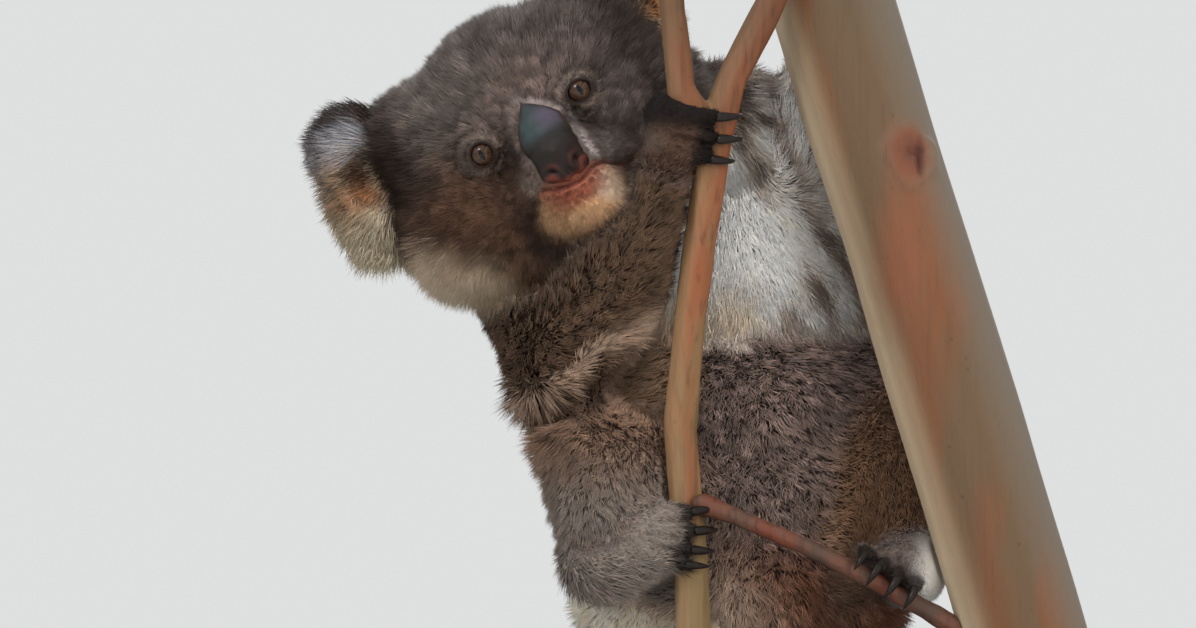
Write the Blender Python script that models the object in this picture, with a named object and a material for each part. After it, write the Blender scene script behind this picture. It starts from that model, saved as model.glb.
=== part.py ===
"""A koala clinging between a slim forked stem and a leaning trunk, on a display stand.

Frame: +Z up, the koala faces -Y, and the origin is the middle of the base's underside.
Left and right are the koala's own, so its right side lies towards -X.
Each sub-part is built from rounded forms, smoothed, and cut clear of its neighbours.
"""

import math

import bmesh
import bpy
from mathutils import Matrix, Vector

MM = 0.001
GAP = 0.3 * MM          # clearance between two neighbouring pieces
VOXEL = 3.0 * MM        # grain of the rounded forms before they are reduced
SOFTEN = 5              # smoothing passes over each form
UP = Vector((0.0, 0.0, 1.0))
whole_forms = {}        # each piece as it was before its neighbours were cut out of it

# Display stand
BASE_LENGTH = 440 * MM
BASE_DEPTH = 270 * MM
BASE_THICK = 16 * MM
BASE_CORNER = 30 * MM
ROD_RADIUS = 8 * MM

# Head, measured from the middle of the line between the eyes
EYE_LINE = (-111, -92, 401)
HEAD_ROLL = 33          # degrees, the left ear raised
HEAD_YAW = -3
EYE_SPREAD = 31.5
EYE_RADIUS = 8.8
EYE_DEPTH = 5.3         # from the eye line back to the eyeball's centre
MUZZLE_ASIDE = 3.5      # how far the muzzle sits to the head's left of its middle, in mm

# Perch
TRUNK_TOP = (18, -50, 600)
TRUNK_FOOT = (176, -76, 64)
TRUNK_RADIUS = 34.5


def mm(x, y, z):
    return Vector((x, y, z)) * MM


def clear_scene():
    for ob in list(bpy.data.objects):
        bpy.data.objects.remove(ob, do_unlink=True)


def material(name, colour, roughness, metallic=0.0):
    mat = bpy.data.materials.get(name) or bpy.data.materials.new(name)
    mat.use_nodes = True
    surface = mat.node_tree.nodes["Principled BSDF"]
    surface.inputs["Base Color"].default_value = (*colour, 1.0)
    surface.inputs["Roughness"].default_value = roughness
    surface.inputs["Metallic"].default_value = metallic
    mat.diffuse_color = (*colour, 1.0)
    return mat


def add_object(name, mesh, mat, parent=None):
    ob = bpy.data.objects.new(name, mesh)
    bpy.context.scene.collection.objects.link(ob)
    mesh.materials.clear()
    mesh.materials.append(mat)
    mesh.shade_smooth()
    ob.parent = parent
    return ob


def evaluated(ob):
    """The object's mesh with its modifiers made real."""
    bpy.context.view_layer.update()
    graph = bpy.context.evaluated_depsgraph_get()
    return bpy.data.meshes.new_from_object(ob.evaluated_get(graph), depsgraph=graph)


def settle(ob):
    """Apply every modifier of the object, in order."""
    mesh = evaluated(ob)
    mat = ob.data.materials[0]
    ob.modifiers.clear()
    ob.data = mesh
    mesh.materials.clear()
    mesh.materials.append(mat)
    mesh.shade_smooth()


def ball(bm, centre, radii, turn=(0, 0, 0)):
    """One rounded form: centre and radii in millimetres, turn in degrees about X, Y and Z."""
    rx, ry, rz = (radii, radii, radii) if isinstance(radii, (int, float)) else radii
    spin = Matrix.Identity(4)
    for angle, axis in zip(turn, "XYZ"):
        spin = Matrix.Rotation(math.radians(angle), 4, axis) @ spin
    size = Matrix.Diagonal((rx * MM, ry * MM, rz * MM, 1.0))
    place = Matrix.Translation(mm(*centre)) @ spin @ size
    bmesh.ops.create_uvsphere(bm, u_segments=24, v_segments=16, radius=1.0, matrix=place)


def limb(bm, joints, beads=5):
    """A run of overlapping balls through (centre, radius) joints."""
    for (start, r0), (end, r1) in zip(joints, joints[1:]):
        for step in range(beads + 1):
            t = step / beads
            centre = Vector(start).lerp(Vector(end), t)
            ball(bm, centre, r0 + (r1 - r0) * t)


def reduce_to(ob, faces):
    settle(ob)
    triangles = sum(len(p.vertices) - 2 for p in ob.data.polygons)
    if triangles > faces:
        thin = ob.modifiers.new("thin", "DECIMATE")
        thin.ratio = faces / triangles
        thin.use_collapse_triangulate = True
        settle(ob)


def form(name, build, mat, faces, parent=None, voxel=VOXEL, soften=SOFTEN):
    """Blend the balls that build(bm) adds into one smooth solid of about this many faces."""
    bm = bmesh.new()
    build(bm)
    mesh = bpy.data.meshes.new(name)
    bm.to_mesh(mesh)
    bm.free()
    ob = add_object(name, mesh, mat, parent)
    blend = ob.modifiers.new("blend", "REMESH")
    blend.mode = "VOXEL"
    blend.voxel_size = voxel
    smooth = ob.modifiers.new("smooth", "SMOOTH")
    smooth.factor = 0.5
    smooth.iterations = soften
    reduce_to(ob, faces)
    return ob


def tube(name, mat, path, sides, parent=None):
    """A closed tapering tube through (centre, radius) points given in metres."""
    bm = bmesh.new()
    rings = []
    side_way = None
    for i, (centre, radius) in enumerate(path):
        ahead = path[min(i + 1, len(path) - 1)][0]
        behind = path[max(i - 1, 0)][0]
        along = (ahead - behind).normalized()
        if side_way is None:
            side_way = along.cross(Vector((0.31, 0.93, 0.17))).normalized()
        side_way = (side_way - along * side_way.dot(along)).normalized()
        other = along.cross(side_way)
        ring = []
        for k in range(sides):
            a = 2 * math.pi * k / sides
            ring.append(bm.verts.new(centre + (side_way * math.cos(a) + other * math.sin(a)) * radius))
        rings.append(ring)
    for low, high in zip(rings, rings[1:]):
        bmesh.ops.bridge_loops(bm, edges=ring_edges(bm, low) + ring_edges(bm, high))
    bm.faces.new(list(reversed(rings[0])))
    bm.faces.new(rings[-1])
    bmesh.ops.recalc_face_normals(bm, faces=bm.faces)
    mesh = bpy.data.meshes.new(name)
    bm.to_mesh(mesh)
    bm.free()
    return add_object(name, mesh, mat, parent)


def ring_edges(bm, ring):
    edges = []
    for a, b in zip(ring, ring[1:] + ring[:1]):
        edges.append(bm.edges.get((a, b)) or bm.edges.new((a, b)))
    return edges


def grown_copy(ob, by):
    """A wire-drawn copy of the object, swollen by the given distance, to cut neighbours with."""
    mesh = evaluated(ob)
    mesh.transform(ob.matrix_world)
    bm = bmesh.new()
    bm.from_mesh(mesh)
    bm.normal_update()
    shifts = [v.normal * by * v.calc_shell_factor() for v in bm.verts]
    for v, shift in zip(bm.verts, shifts):
        v.co += shift
    bm.to_mesh(mesh)
    bm.free()
    cutter = bpy.data.objects.new(ob.name + "_cutter", mesh)
    bpy.context.scene.collection.objects.link(cutter)
    cutter.hide_render = True
    cutter.display_type = "WIRE"
    return cutter


def box_of(ob):
    points = [ob.matrix_world @ Vector(c) for c in ob.bound_box]
    low = Vector([min(p[i] for p in points) for i in range(3)])
    high = Vector([max(p[i] for p in points) for i in range(3)])
    return low, high


def boxes_meet(a, b):
    (a_low, a_high), (b_low, b_high) = box_of(a), box_of(b)
    return all(a_low[i] - 2 * GAP < b_high[i] and b_low[i] - 2 * GAP < a_high[i] for i in range(3))


def keep_largest(ob):
    """Drop the small offcuts that a cut leaves beside the piece."""
    bm = bmesh.new()
    bm.from_mesh(ob.data)
    left = set(bm.verts)
    islands = []
    while left:
        stack = [left.pop()]
        island = set(stack)
        while stack:
            for edge in stack.pop().link_edges:
                for v in edge.verts:
                    if v in left:
                        left.discard(v)
                        island.add(v)
                        stack.append(v)
        islands.append(island)
    largest = max(islands, key=len)
    offcuts = [v for v in bm.verts if v not in largest]
    bmesh.ops.delete(bm, geom=offcuts, context="VERTS")
    bm.to_mesh(ob.data)
    bm.free()


def cut_clear(ob, neighbours):
    """Take the neighbours' whole forms, grown by the gap, out of the object."""
    bpy.context.view_layer.update()
    whole_forms[ob.name] = grown_copy(ob, GAP)
    for other in neighbours:
        if boxes_meet(ob, whole_forms[other.name]):
            cut = ob.modifiers.new("clear_of_" + other.name, "BOOLEAN")
            cut.operation = "DIFFERENCE"
            cut.solver = "EXACT"
            cut.object = whole_forms[other.name]
    if ob.modifiers:
        settle(ob)
        keep_largest(ob)


# ---------------------------------------------------------------- head

def head_forms(bm):
    ball(bm, (0, 76, -8), (62, 44, 54))
    ball(bm, (0, 52, 14), (60, 52, 60))
    for side in (-1, 1):
        ball(bm, (41 * side, 56, 14), (48, 53, 50))
        ball(bm, (54 * side, 44, -26), (45, 43, 46))
        ball(bm, (66 * side, 57, 35), (31, 29, 28))
        ball(bm, (25 * side, 15, 15), (24, 16, 14))
        ball(bm, (40 * side, 24, -48), (38, 36, 27))
        ball(bm, (19 * side + MUZZLE_ASIDE, 4, -40), (20, 28, 20))
    ball(bm, (0, 26, -45), (58, 45, 34))
    ball(bm, (MUZZLE_ASIDE, 8, -10), (18, 20, 24))
    ball(bm, (MUZZLE_ASIDE, 0, -36), (30, 34, 28))
    ball(bm, (MUZZLE_ASIDE, 0, -58), (22, 27, 17))


def nose_forms(bm):
    ball(bm, (MUZZLE_ASIDE, -11.5, 1), (8, 7, 8))
    ball(bm, (MUZZLE_ASIDE, -14, -6), (13.5, 9, 9))
    ball(bm, (MUZZLE_ASIDE, -19, -16), (14.5, 11, 12))
    ball(bm, (MUZZLE_ASIDE, -26, -27), (15, 12, 12.5))
    for side in (-1, 1):
        ball(bm, (MUZZLE_ASIDE + 6.5 * side, -28, -34), (8.5, 9, 9))


def ear_forms(side):
    def build(bm):
        ball(bm, (90 * side, 44, 41), (32, 16, 38), (0, 8 * side, -12 * side))
        ball(bm, (99 * side, 42, 15), (31, 15, 36), (0, -6 * side, -10 * side))
    return build


def ear_hollow(side):
    def build(bm):
        ball(bm, (97 * side, 26, 28), (16, 13, 26), (0, 6 * side, -14 * side))
    return build


def build_head(parts):
    fur = material("head_fur", (0.17, 0.15, 0.14), 0.95)
    pale = material("ear_fur", (0.52, 0.46, 0.38), 0.95)
    frame = bpy.data.objects.new("head_frame", None)
    bpy.context.scene.collection.objects.link(frame)
    frame.location = mm(*EYE_LINE)
    roll = Matrix.Rotation(math.radians(-HEAD_ROLL), 4, "Y")
    yaw = Matrix.Rotation(math.radians(HEAD_YAW), 4, "Z")
    frame.rotation_euler = (roll @ yaw).to_euler()
    leather = material("nose_leather", (0.05, 0.055, 0.06), 0.45)
    nose = form("nose", nose_forms, leather, 190, frame, 1.0 * MM, 6)
    cut_clear(nose, [])
    glassy = material("eye_surface", (0.06, 0.03, 0.015), 0.1)
    eyes = []
    for side, word in ((-1, "right"), (1, "left")):
        bm = bmesh.new()
        bmesh.ops.create_uvsphere(bm, u_segments=12, v_segments=7, radius=EYE_RADIUS * MM)
        mesh = bpy.data.meshes.new("eye_" + word)
        bm.to_mesh(mesh)
        bm.free()
        eye = add_object("eye_" + word, mesh, glassy, frame)
        eye.location = mm(EYE_SPREAD * side, EYE_DEPTH, 0)
        cut_clear(eye, [])
        eyes.append(eye)
    head = form("head", head_forms, fur, 910, frame, soften=8)
    cut_clear(head, parts + [nose] + eyes)
    ears = []
    for side, word in ((-1, "right"), (1, "left")):
        ear = form("ear_" + word, ear_forms(side), pale, 180, frame, 2.5 * MM)
        hollow = form("ear_hollow", ear_hollow(side), pale, 60, frame, 2.5 * MM)
        scoop = ear.modifiers.new("hollow", "BOOLEAN")
        scoop.operation = "DIFFERENCE"
        scoop.object = hollow
        settle(ear)
        bpy.data.objects.remove(hollow, do_unlink=True)
        cut_clear(ear, parts + [head])
        ears.append(ear)
    return [nose] + eyes + [head] + ears


# ---------------------------------------------------------------- body

def neck_forms(bm):
    limb(bm, [((-84, -20, 398), 52), ((-20, 18, 396), 56)])


def trunk_forms(bm):
    ball(bm, (16, 25, 162), (78, 72, 76))
    ball(bm, (12, 26, 204), (84, 75, 80))
    ball(bm, (10, 27, 246), (87, 76, 86))
    ball(bm, (8, 29, 318), (86, 69, 88))
    ball(bm, (-10, 36, 390), (78, 56, 68))
    ball(bm, (-36, 24, 138), (54, 54, 48))
    ball(bm, (62, 26, 142), (46, 54, 48))
    ball(bm, (72, 24, 262), (38, 44, 62))


def tail_forms(bm):
    limb(bm, [((16, 80, 128), 19), ((16, 90, 117), 15)], 3)


# ---------------------------------------------------------------- limbs

RIGHT_ARM = {
    "arm": [((-84, 6, 350), 40), ((-106, -28, 312), 39), ((-94, -58, 277), 35), ((-62, -78, 322), 33),
            ((-45, -89, 357), 26)],
    "hand": [((-38, -95, 375), 20), ((-32, -101, 392), 17), ((-34, -103, 403), 12)],
}
LEFT_ARM = {
    "arm": [((44, 18, 386), 46), ((66, 44, 440), 34), ((66, 64, 470), 29), ((56, 38, 522), 25),
            ((49, 18, 547), 20)],
    "hand": [((45, 8, 559), 17), ((40, -1, 573), 15)],
}
RIGHT_LEG = {
    "leg": [((-20, 6, 164), 50), ((-52, -28, 204), 46), ((-75, -54, 217), 35), ((-72, -62, 188), 31),
            ((-72, -60, 178), 27)],
    "foot": [((-71, -62, 165), 26), ((-53, -71, 172), 22), ((-37, -79, 178), 17)],
}
LEFT_LEG = {
    "leg": [((52, 12, 162), 50), ((86, -2, 210), 43), ((104, -6, 238), 36), ((104, -20, 200), 31),
            ((103, -28, 178), 27)],
    "foot": [((102, -34, 163), 24), ((100, -54, 156), 22), ((92, -74, 156), 17)],
}


def arc_path(centre, axis, start, sweep, radius, rise, steps):
    """Points in metres round an axis: start is a direction, sweep is in degrees."""
    way = (start - axis * start.dot(axis)).normalized()
    points = []
    for i in range(steps + 1):
        t = i / steps
        turn = Matrix.Rotation(math.radians(sweep * t), 3, axis)
        points.append(centre + turn @ way * radius + axis * rise * t)
    return points


def digit(bm, points, r0, r1):
    count = len(points) - 1
    for i, p in enumerate(points):
        ball(bm, p / MM, r0 + (r1 - r0) * i / count)


def claw(name, base, way, inward, length, curl, radius, mat):
    """A pointed claw that leaves base along way and curls inward through curl degrees."""
    path = []
    steps = 3
    turn = math.radians(curl)
    bend = length / turn
    for i in range(steps + 1):
        t = i / steps
        centre = base + way * bend * math.sin(turn * t) + inward * bend * (1 - math.cos(turn * t))
        path.append((centre, radius * (1 - 0.88 * t ** 1.3)))
    return tube(name, mat, path, 5)


class Grip:
    """A hand or foot closed round a perch of this radius: its digits are arcs round the perch."""

    def __init__(self, centre, axis, radius, toward):
        self.centre = mm(*centre)
        self.axis = Vector(axis).normalized()
        self.radius = radius
        self.toward = Vector(toward)

    def path(self, offset, sweep, thick, rise=0.0):
        middle = self.centre + self.axis * offset * MM
        reach = (self.radius + thick * 0.92) * MM
        steps = max(4, round(math.radians(abs(sweep)) * reach / (0.45 * thick * MM)))
        return arc_path(middle, self.axis, self.toward, sweep, reach, rise * MM, steps)


def make_digits(grip, digits, word, claw_mat):
    """Paths of the digits and the claws at their ends."""
    paths = []
    claws = []
    for number, (offset, sweep, rise, thick, claw_length) in enumerate(digits, start=1):
        path = grip.path(offset, sweep, thick, rise)
        paths.append((path, thick))
        if claw_length:
            way = (path[-1] - path[-2]).normalized()
            end = path[-1]
            inward = grip.centre - end
            inward = (inward - grip.axis * inward.dot(grip.axis)).normalized()
            base = end + (way * 0.3 - inward * 0.3) * thick * MM
            curl = min(80.0, math.degrees(claw_length / (0.6 * grip.radius + 6)))
            name = "claw_" + word + "_" + str(number)
            radius = 0.45 * thick * MM
            claws.append(claw(name, base, way, inward, claw_length * MM, curl, radius, claw_mat))
    return paths, claws


# offset along the perch, sweep in degrees, rise, thickness and claw length of each digit
GRIPS = {
    "hand_right": (
        Grip((-14, -99, 391), (0.12, -0.25, 0.95), 10.5, (-1.0, -0.15, 0.0)),
        [(14, 92, 1, 6.4, 22), (3, 98, 0, 6.6, 24), (-8, 92, -1, 6.2, 20),
         (9, -88, 1, 6.4, 13), (-5, -92, -2, 6.2, 13)],
    ),
    "hand_left": (
        Grip((26, -51, 574), (-0.29, 0.05, 0.95), TRUNK_RADIUS, (0.35, 1.0, 0.0)),
        [(16, 56, 4, 6.4, 19), (2, 60, 0, 6.6, 20), (-12, 56, -4, 6.2, 17),
         (10, -54, 6, 6.4, 13), (-5, -52, -3, 6.2, 13)],
    ),
    "foot_right": (
        Grip((-24, -66, 179), (-0.04, -0.06, 1.0), 9.6, (-1.0, -0.35, 0.0)),
        [(10, 78, 0, 6.4, 17), (0, 82, -1, 6.8, 19), (-10, 76, -2, 6.4, 17), (-18, 66, -2, 5.6, 14),
         (2, -84, -2, 8.0, 0)],
    ),
    "foot_left": (
        Grip((84, -84, 146), (0.84, 0.06, -0.53), 5.6, (0.1, 0.55, 0.85)),
        [(13, 92, 0, 6.4, 14), (1, 96, 0, 6.8, 15), (-11, 92, 0, 6.2, 14), (-21, 80, 0, 5.6, 12),
         (4, -70, 6, 7.8, 0)],
    ),
}


def build_claws():
    horn = material("claw_horn", (0.02, 0.018, 0.016), 0.35)
    paths = {}
    claws = []
    for word, (grip, digits) in GRIPS.items():
        paths[word], made = make_digits(grip, digits, word, horn)
        claws += made
    return paths, claws


def limb_forms(joints, digits=()):
    def build(bm):
        limb(bm, joints)
        for path, thick in digits:
            knuckle = Vector(joints[-1][0])
            start = path[0] / MM
            for step in range(4):
                ball(bm, knuckle.lerp(start, step / 3), thick * 1.1)
            digit(bm, path, thick * 1.05, thick * 0.8)
    return build


def build_limbs(solid, paths):
    arm_fur = material("limb_fur", (0.22, 0.19, 0.16), 0.95)
    dark_fur = material("paw_fur", (0.07, 0.065, 0.06), 0.95)
    made = []
    limbs = (("right", RIGHT_ARM), ("left", LEFT_ARM), ("right", RIGHT_LEG), ("left", LEFT_LEG))
    for side, chain in limbs:
        for word in reversed(chain):
            name = word + "_" + side
            gripping = word in ("hand", "foot")
            digits = paths[name] if gripping else ()
            faces = 310 if gripping else 235
            voxel = 2.0 * MM if gripping else VOXEL
            soften = 3 if gripping else SOFTEN
            mat = dark_fur if gripping else arm_fur
            ob = form(name, limb_forms(chain[word], digits), mat, faces, None, voxel, soften)
            cut_clear(ob, solid + made)
            made.append(ob)
    return made


# ---------------------------------------------------------------- perch and stand

def build_perch():
    bark = material("stem_bark", (0.42, 0.27, 0.16), 0.8)
    pale_bark = material("trunk_bark", (0.5, 0.42, 0.33), 0.8)

    def stem_forms(bm):
        limb(bm, [((-20, -60, 74), 10.2), ((-22, -64, 160), 10.0), ((-28, -68, 235), 9.6),
                  ((-22, -80, 300), 9.6), ((-16, -91, 345), 9.4), ((-10, -99, 385), 9.6)], 12)
        limb(bm, [((-10, -99, 385), 9.2), ((-28, -106, 416), 7.8), ((-33, -108, 470), 7.4),
                  ((-36, -109, 500), 7.2)], 9)
        limb(bm, [((-10, -99, 385), 9.2), ((0, -101, 422), 9.0), ((24, -98, 472), 8.8),
                  ((30, -98, 488), 8.6)], 9)

    stem = form("perch_stem", stem_forms, bark, 280, None, 2.0 * MM, 3)
    foot = Vector(TRUNK_FOOT)
    top = Vector(TRUNK_TOP)
    path = []
    steps = 6
    for i in range(steps + 1):
        t = i / steps
        bow = 3.0 * math.sin(math.pi * t)
        centre = foot.lerp(top, t) + Vector((bow, 0, 0))
        path.append((centre * MM, TRUNK_RADIUS * MM))
    trunk = tube("perch_trunk", pale_bark, path, 18)

    route = [((-10, -78, 190), 4.6), ((40, -86, 168), 5.0), ((84, -84, 146), 5.4), ((130, -78, 120), 6.0)]
    branch = tube("perch_branch", bark, [(mm(*centre), radius * MM) for centre, radius in route], 8)
    cut_clear(stem, [])
    cut_clear(trunk, [])
    cut_clear(branch, [stem, trunk])
    return [stem, trunk, branch]


def round_edges(bm, edges, width, segments):
    bmesh.ops.bevel(
        bm, geom=edges, offset=width, segments=segments, profile=0.5, affect="EDGES", material=-1,
    )


def build_stand(perch):
    enamel = material("stand_enamel", (0.08, 0.08, 0.085), 0.5)
    steel = material("stand_steel", (0.6, 0.6, 0.6), 0.3, 1.0)
    bm = bmesh.new()
    size = Matrix.Diagonal((BASE_LENGTH, BASE_DEPTH, BASE_THICK, 1.0))
    bmesh.ops.create_cube(bm, size=1.0, matrix=Matrix.Translation((0, 0, BASE_THICK / 2)) @ size)
    upright = [e for e in bm.edges if abs(e.verts[0].co.z - e.verts[1].co.z) > BASE_THICK / 2]
    round_edges(bm, upright, BASE_CORNER, 5)
    rim = [e for e in bm.edges if all(v.co.z > BASE_THICK - GAP for v in e.verts)]
    round_edges(bm, rim, 2 * MM, 1)
    mesh = bpy.data.meshes.new("stand_base")
    bm.to_mesh(mesh)
    bm.free()
    base = add_object("stand_base", mesh, enamel)
    cut_clear(base, [])
    rods = []
    for word, x, y, top in (("stem", -20, -60, 66), ("trunk", 178, -76, 66)):
        low = mm(x, y, 0) + UP * (BASE_THICK + GAP)
        high = mm(x, y, top + 12)
        path = [(low, ROD_RADIUS), (high, ROD_RADIUS)]
        rod = tube("stand_rod_" + word, steel, path, 16)
        cut_clear(rod, perch)
        rods.append(rod)
    return [base] + rods


def build():
    clear_scene()
    perch = build_perch()
    stand = build_stand(perch)
    paths, claws = build_claws()
    hard = perch + stand
    for piece in claws:
        cut_clear(piece, perch)
    head_parts = build_head(hard + claws)
    fur = material("body_fur", (0.2, 0.18, 0.16), 0.95)
    body = []
    torso = (("neck", neck_forms, 120), ("trunk", trunk_forms, 540), ("tail", tail_forms, 50))
    for name, forms, faces in torso:
        ob = form(name, forms, fur, faces, soften=16)
        cut_clear(ob, hard + claws + head_parts + body)
        body.append(ob)
    build_limbs(hard + claws + head_parts + body, paths)
    for cutter in whole_forms.values():
        bpy.data.objects.remove(cutter, do_unlink=True)


build()
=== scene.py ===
import math

import bmesh
import bpy
import numpy as np
from mathutils import Matrix, Vector, noise
from mathutils.bvhtree import BVHTree
from mathutils.kdtree import KDTree


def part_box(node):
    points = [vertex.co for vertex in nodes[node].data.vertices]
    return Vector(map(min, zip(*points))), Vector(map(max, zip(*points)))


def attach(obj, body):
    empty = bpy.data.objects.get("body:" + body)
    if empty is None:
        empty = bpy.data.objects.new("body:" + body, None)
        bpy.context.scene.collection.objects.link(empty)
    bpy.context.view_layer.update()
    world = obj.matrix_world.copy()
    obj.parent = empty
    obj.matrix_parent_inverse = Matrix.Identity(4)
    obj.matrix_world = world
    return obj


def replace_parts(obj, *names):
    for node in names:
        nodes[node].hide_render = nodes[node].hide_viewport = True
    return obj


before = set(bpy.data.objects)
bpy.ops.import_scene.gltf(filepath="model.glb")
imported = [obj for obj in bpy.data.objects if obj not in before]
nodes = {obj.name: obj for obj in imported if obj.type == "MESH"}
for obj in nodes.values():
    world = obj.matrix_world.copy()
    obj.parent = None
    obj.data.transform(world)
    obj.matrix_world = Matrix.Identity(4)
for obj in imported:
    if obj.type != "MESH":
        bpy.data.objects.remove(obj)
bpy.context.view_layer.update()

# ---------------------------------------------------------------- display stand
# The base is a heavy steel plate with rounded corners, powder coated in a dark
# satin enamel. Two plain brushed steel rods screw into it and carry the cut wood.

ENAMEL_COLOUR = (0.045, 0.045, 0.048)
STEEL_COLOUR = (0.56, 0.56, 0.57)


def tone(red, green, blue):
    """A colour given as a paint chart does, from 0 to 255, as the shader's linear values."""
    chart = np.array([red, green, blue], float) / 255
    return np.where(chart <= 0.04045, chart / 12.92, ((chart + 0.055) / 1.055) ** 2.4)


def finish(name, colour, roughness, metallic=0.0, **steady):
    """A surface finish on one Principled shader, with its steady values on the shader's own sockets."""
    made = bpy.data.materials.new(name)
    made.use_nodes = True
    sockets = made.node_tree.nodes["Principled BSDF"].inputs
    sockets["Base Color"].default_value = (*colour, 1)
    sockets["Roughness"].default_value = roughness
    sockets["Metallic"].default_value = metallic
    for socket, value in steady.items():
        sockets[socket.replace("_", " ")].default_value = value
    return made


def feed(made, source, socket="Base Color"):
    """Links a value that changes over the surface to a socket of a finish's shader."""
    made.node_tree.links.new(source, made.node_tree.nodes["Principled BSDF"].inputs[socket])


def node(tree, kind, sockets=None, **settings):
    """A shader node with its settings, and each named socket linked or set."""
    made = tree.nodes.new("ShaderNode" + kind)
    for key, value in settings.items():
        setattr(made, key, value)
    for socket, source in (sockets or {}).items():
        if isinstance(source, bpy.types.NodeSocket):
            tree.links.new(source, made.inputs[socket])
        else:
            made.inputs[socket].default_value = source
    return made


def new_group(name, inputs, outputs):
    """An empty shader group with its named sockets, and the nodes that stand for them inside."""
    group = bpy.data.node_groups.new(name, "ShaderNodeTree")
    for way, sockets in (("INPUT", inputs), ("OUTPUT", outputs)):
        for socket, kind in sockets:
            group.interface.new_socket(socket, in_out=way, socket_type="NodeSocket" + kind)
    return group, group.nodes.new("NodeGroupInput").outputs, group.nodes.new("NodeGroupOutput").inputs


def cloud(tree, place, scale, detail, out=0, **more):
    """Soft noise of one size in a shader."""
    return node(tree, "TexNoise", {"Vector": place, "Scale": scale, "Detail": detail, **more}).outputs[out]


def make_grain_group():
    """Fine relief of one size: a cloud of grain stretched along one axis, as a mask and as a bumped normal."""
    group, given, result = new_group(
        "fine_grain",
        (("Place", "Vector"), ("Stretch", "Vector"), ("Scale", "Float"), ("Strength", "Float"), ("Depth", "Float")),
        (("Mask", "Float"), ("Normal", "Vector")),
    )
    stretched = node(group, "Mapping", {"Vector": given["Place"], "Scale": given["Stretch"]}).outputs[0]
    mask = cloud(group, stretched, given["Scale"], 5.0, Roughness=0.6)
    bump = node(group, "Bump", {"Height": mask, "Strength": given["Strength"], "Distance": given["Depth"]})
    group.links.new(mask, result["Mask"])
    group.links.new(bump.outputs[0], result["Normal"])
    return group


GRAIN = make_grain_group()


def add_grain(made, stretch, scale, strength, depth):
    """Places the fine grain in a finish, and returns its mask and the place it reads."""
    place = node(made.node_tree, "TexCoord").outputs["Object"]
    values = {"Place": place, "Stretch": stretch, "Scale": scale, "Strength": strength, "Depth": depth}
    grain = node(made.node_tree, "Group", values, node_tree=GRAIN).outputs
    feed(made, grain["Normal"], "Normal")
    return grain["Mask"], place


def ramp(tree, value, *stops):
    """Colours or greys laid along a value from 0 to 1, as (position, colour) stops."""
    made = node(tree, "ValToRGB", {"Fac": value})
    band = made.color_ramp
    while len(band.elements) < len(stops):
        band.elements.new(0.5)
    for element, (position, colour) in zip(band.elements, stops):
        element.position = position
        element.color = (*np.broadcast_to(colour, 3), 1)
    return made.outputs[0]


enamel = finish("dark_enamel", ENAMEL_COLOUR, 0.42, Coat_Weight=0.15)
mask, _ = add_grain(enamel, (1, 1, 1), 900.0, 0.12, 0.0004)
feed(enamel, ramp(enamel.node_tree, mask, (0.3, 0.038), (0.7, (0.056, 0.056, 0.06))))
steel = finish("brushed_steel", STEEL_COLOUR, 0.3, metallic=1.0)
mask, _ = add_grain(steel, (1, 1, 0.02), 1400.0, 0.2, 0.0002)
feed(steel, ramp(steel.node_tree, mask, (0.3, 0.22), (0.7, 0.38)), "Roughness")

for name, made, slot in (
    ("stand_base", enamel, "enamel"), ("stand_rod_stem", steel, "steel"), ("stand_rod_trunk", steel, "steel")
):
    nodes[name].data.materials.clear()
    nodes[name].data.materials.append(made)

# ---------------------------------------------------------------- cut lengths of gum tree
# The thick trunk, the forked stem and the thin crossing branch are green eucalypt
# wood with smooth bark that sheds in patches. The stem stands on its rod in the base,
# and a round knot where a limb fell off sits high on the front of the trunk.

TRUNK_ACROSS = (1.0, 0.0, 0.2948)
TRUNK_MIDDLE = 0.1949
TRUNK_RADIUS = 0.0345
TRUNK_SWELL = 0.0016
STEM_SWELL = 0.0007
BRANCH_SWELL = 0.0006
KNOT_HEIGHT = 0.383
KNOT_ASIDE = 0.013
KNOT_REACH = 42
BRANCH_JOIN = Vector((-0.009, 0.004, 0.003))
BRANCH_FLARE = 0.0024


def shell_of(mesh):
    """A bmesh with one mesh in it."""
    shell = bmesh.new()
    shell.from_mesh(mesh)
    return shell


def merged_copy(name, let_out=0.0):
    """A copy of a CAD node as one closed surface, let out by a small distance."""
    shell = shell_of(nodes[name].data)
    bmesh.ops.remove_doubles(shell, verts=shell.verts, dist=1e-5)
    shell.normal_update()
    for v in shell.verts:
        v.co += v.normal * let_out
    return shell


def mesh_of(shell, name):
    """Turns a bmesh into a mesh."""
    mesh = bpy.data.meshes.new(name)
    shell.to_mesh(mesh)
    shell.free()
    return mesh


def placed(data, name):
    """Puts a mesh, a lamp or a camera in the scene."""
    made = bpy.data.objects.new(name, data)
    bpy.context.scene.collection.objects.link(made)
    return made


def piece_of(mesh, name, made):
    """Makes a mesh a smooth shaded piece that rides on the one body, with its finish."""
    mesh.shade_smooth()
    piece = placed(mesh, name)
    mesh.materials.clear()
    mesh.materials.append(made)
    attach(piece, "root")
    return piece


def piece_from(shell, name, made):
    """Turns a bmesh into a piece of the model."""
    shell.normal_update()
    return piece_of(mesh_of(shell, name), name, made)


def remeshed(shell, name, voxel, rounds):
    """One even skin over everything in a bmesh, smoothed by some rounds."""
    block = placed(mesh_of(shell, name + "_block"), name + "_block")
    even = block.modifiers.new("even", "REMESH")
    even.mode = "VOXEL"
    even.voxel_size = voxel
    soft = block.modifiers.new("soft", "SMOOTH")
    soft.factor = 0.5
    soft.iterations = rounds
    made = bpy.data.meshes.new_from_object(block.evaluated_get(bpy.context.evaluated_depsgraph_get()))
    bpy.data.objects.remove(block)
    return made


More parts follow.
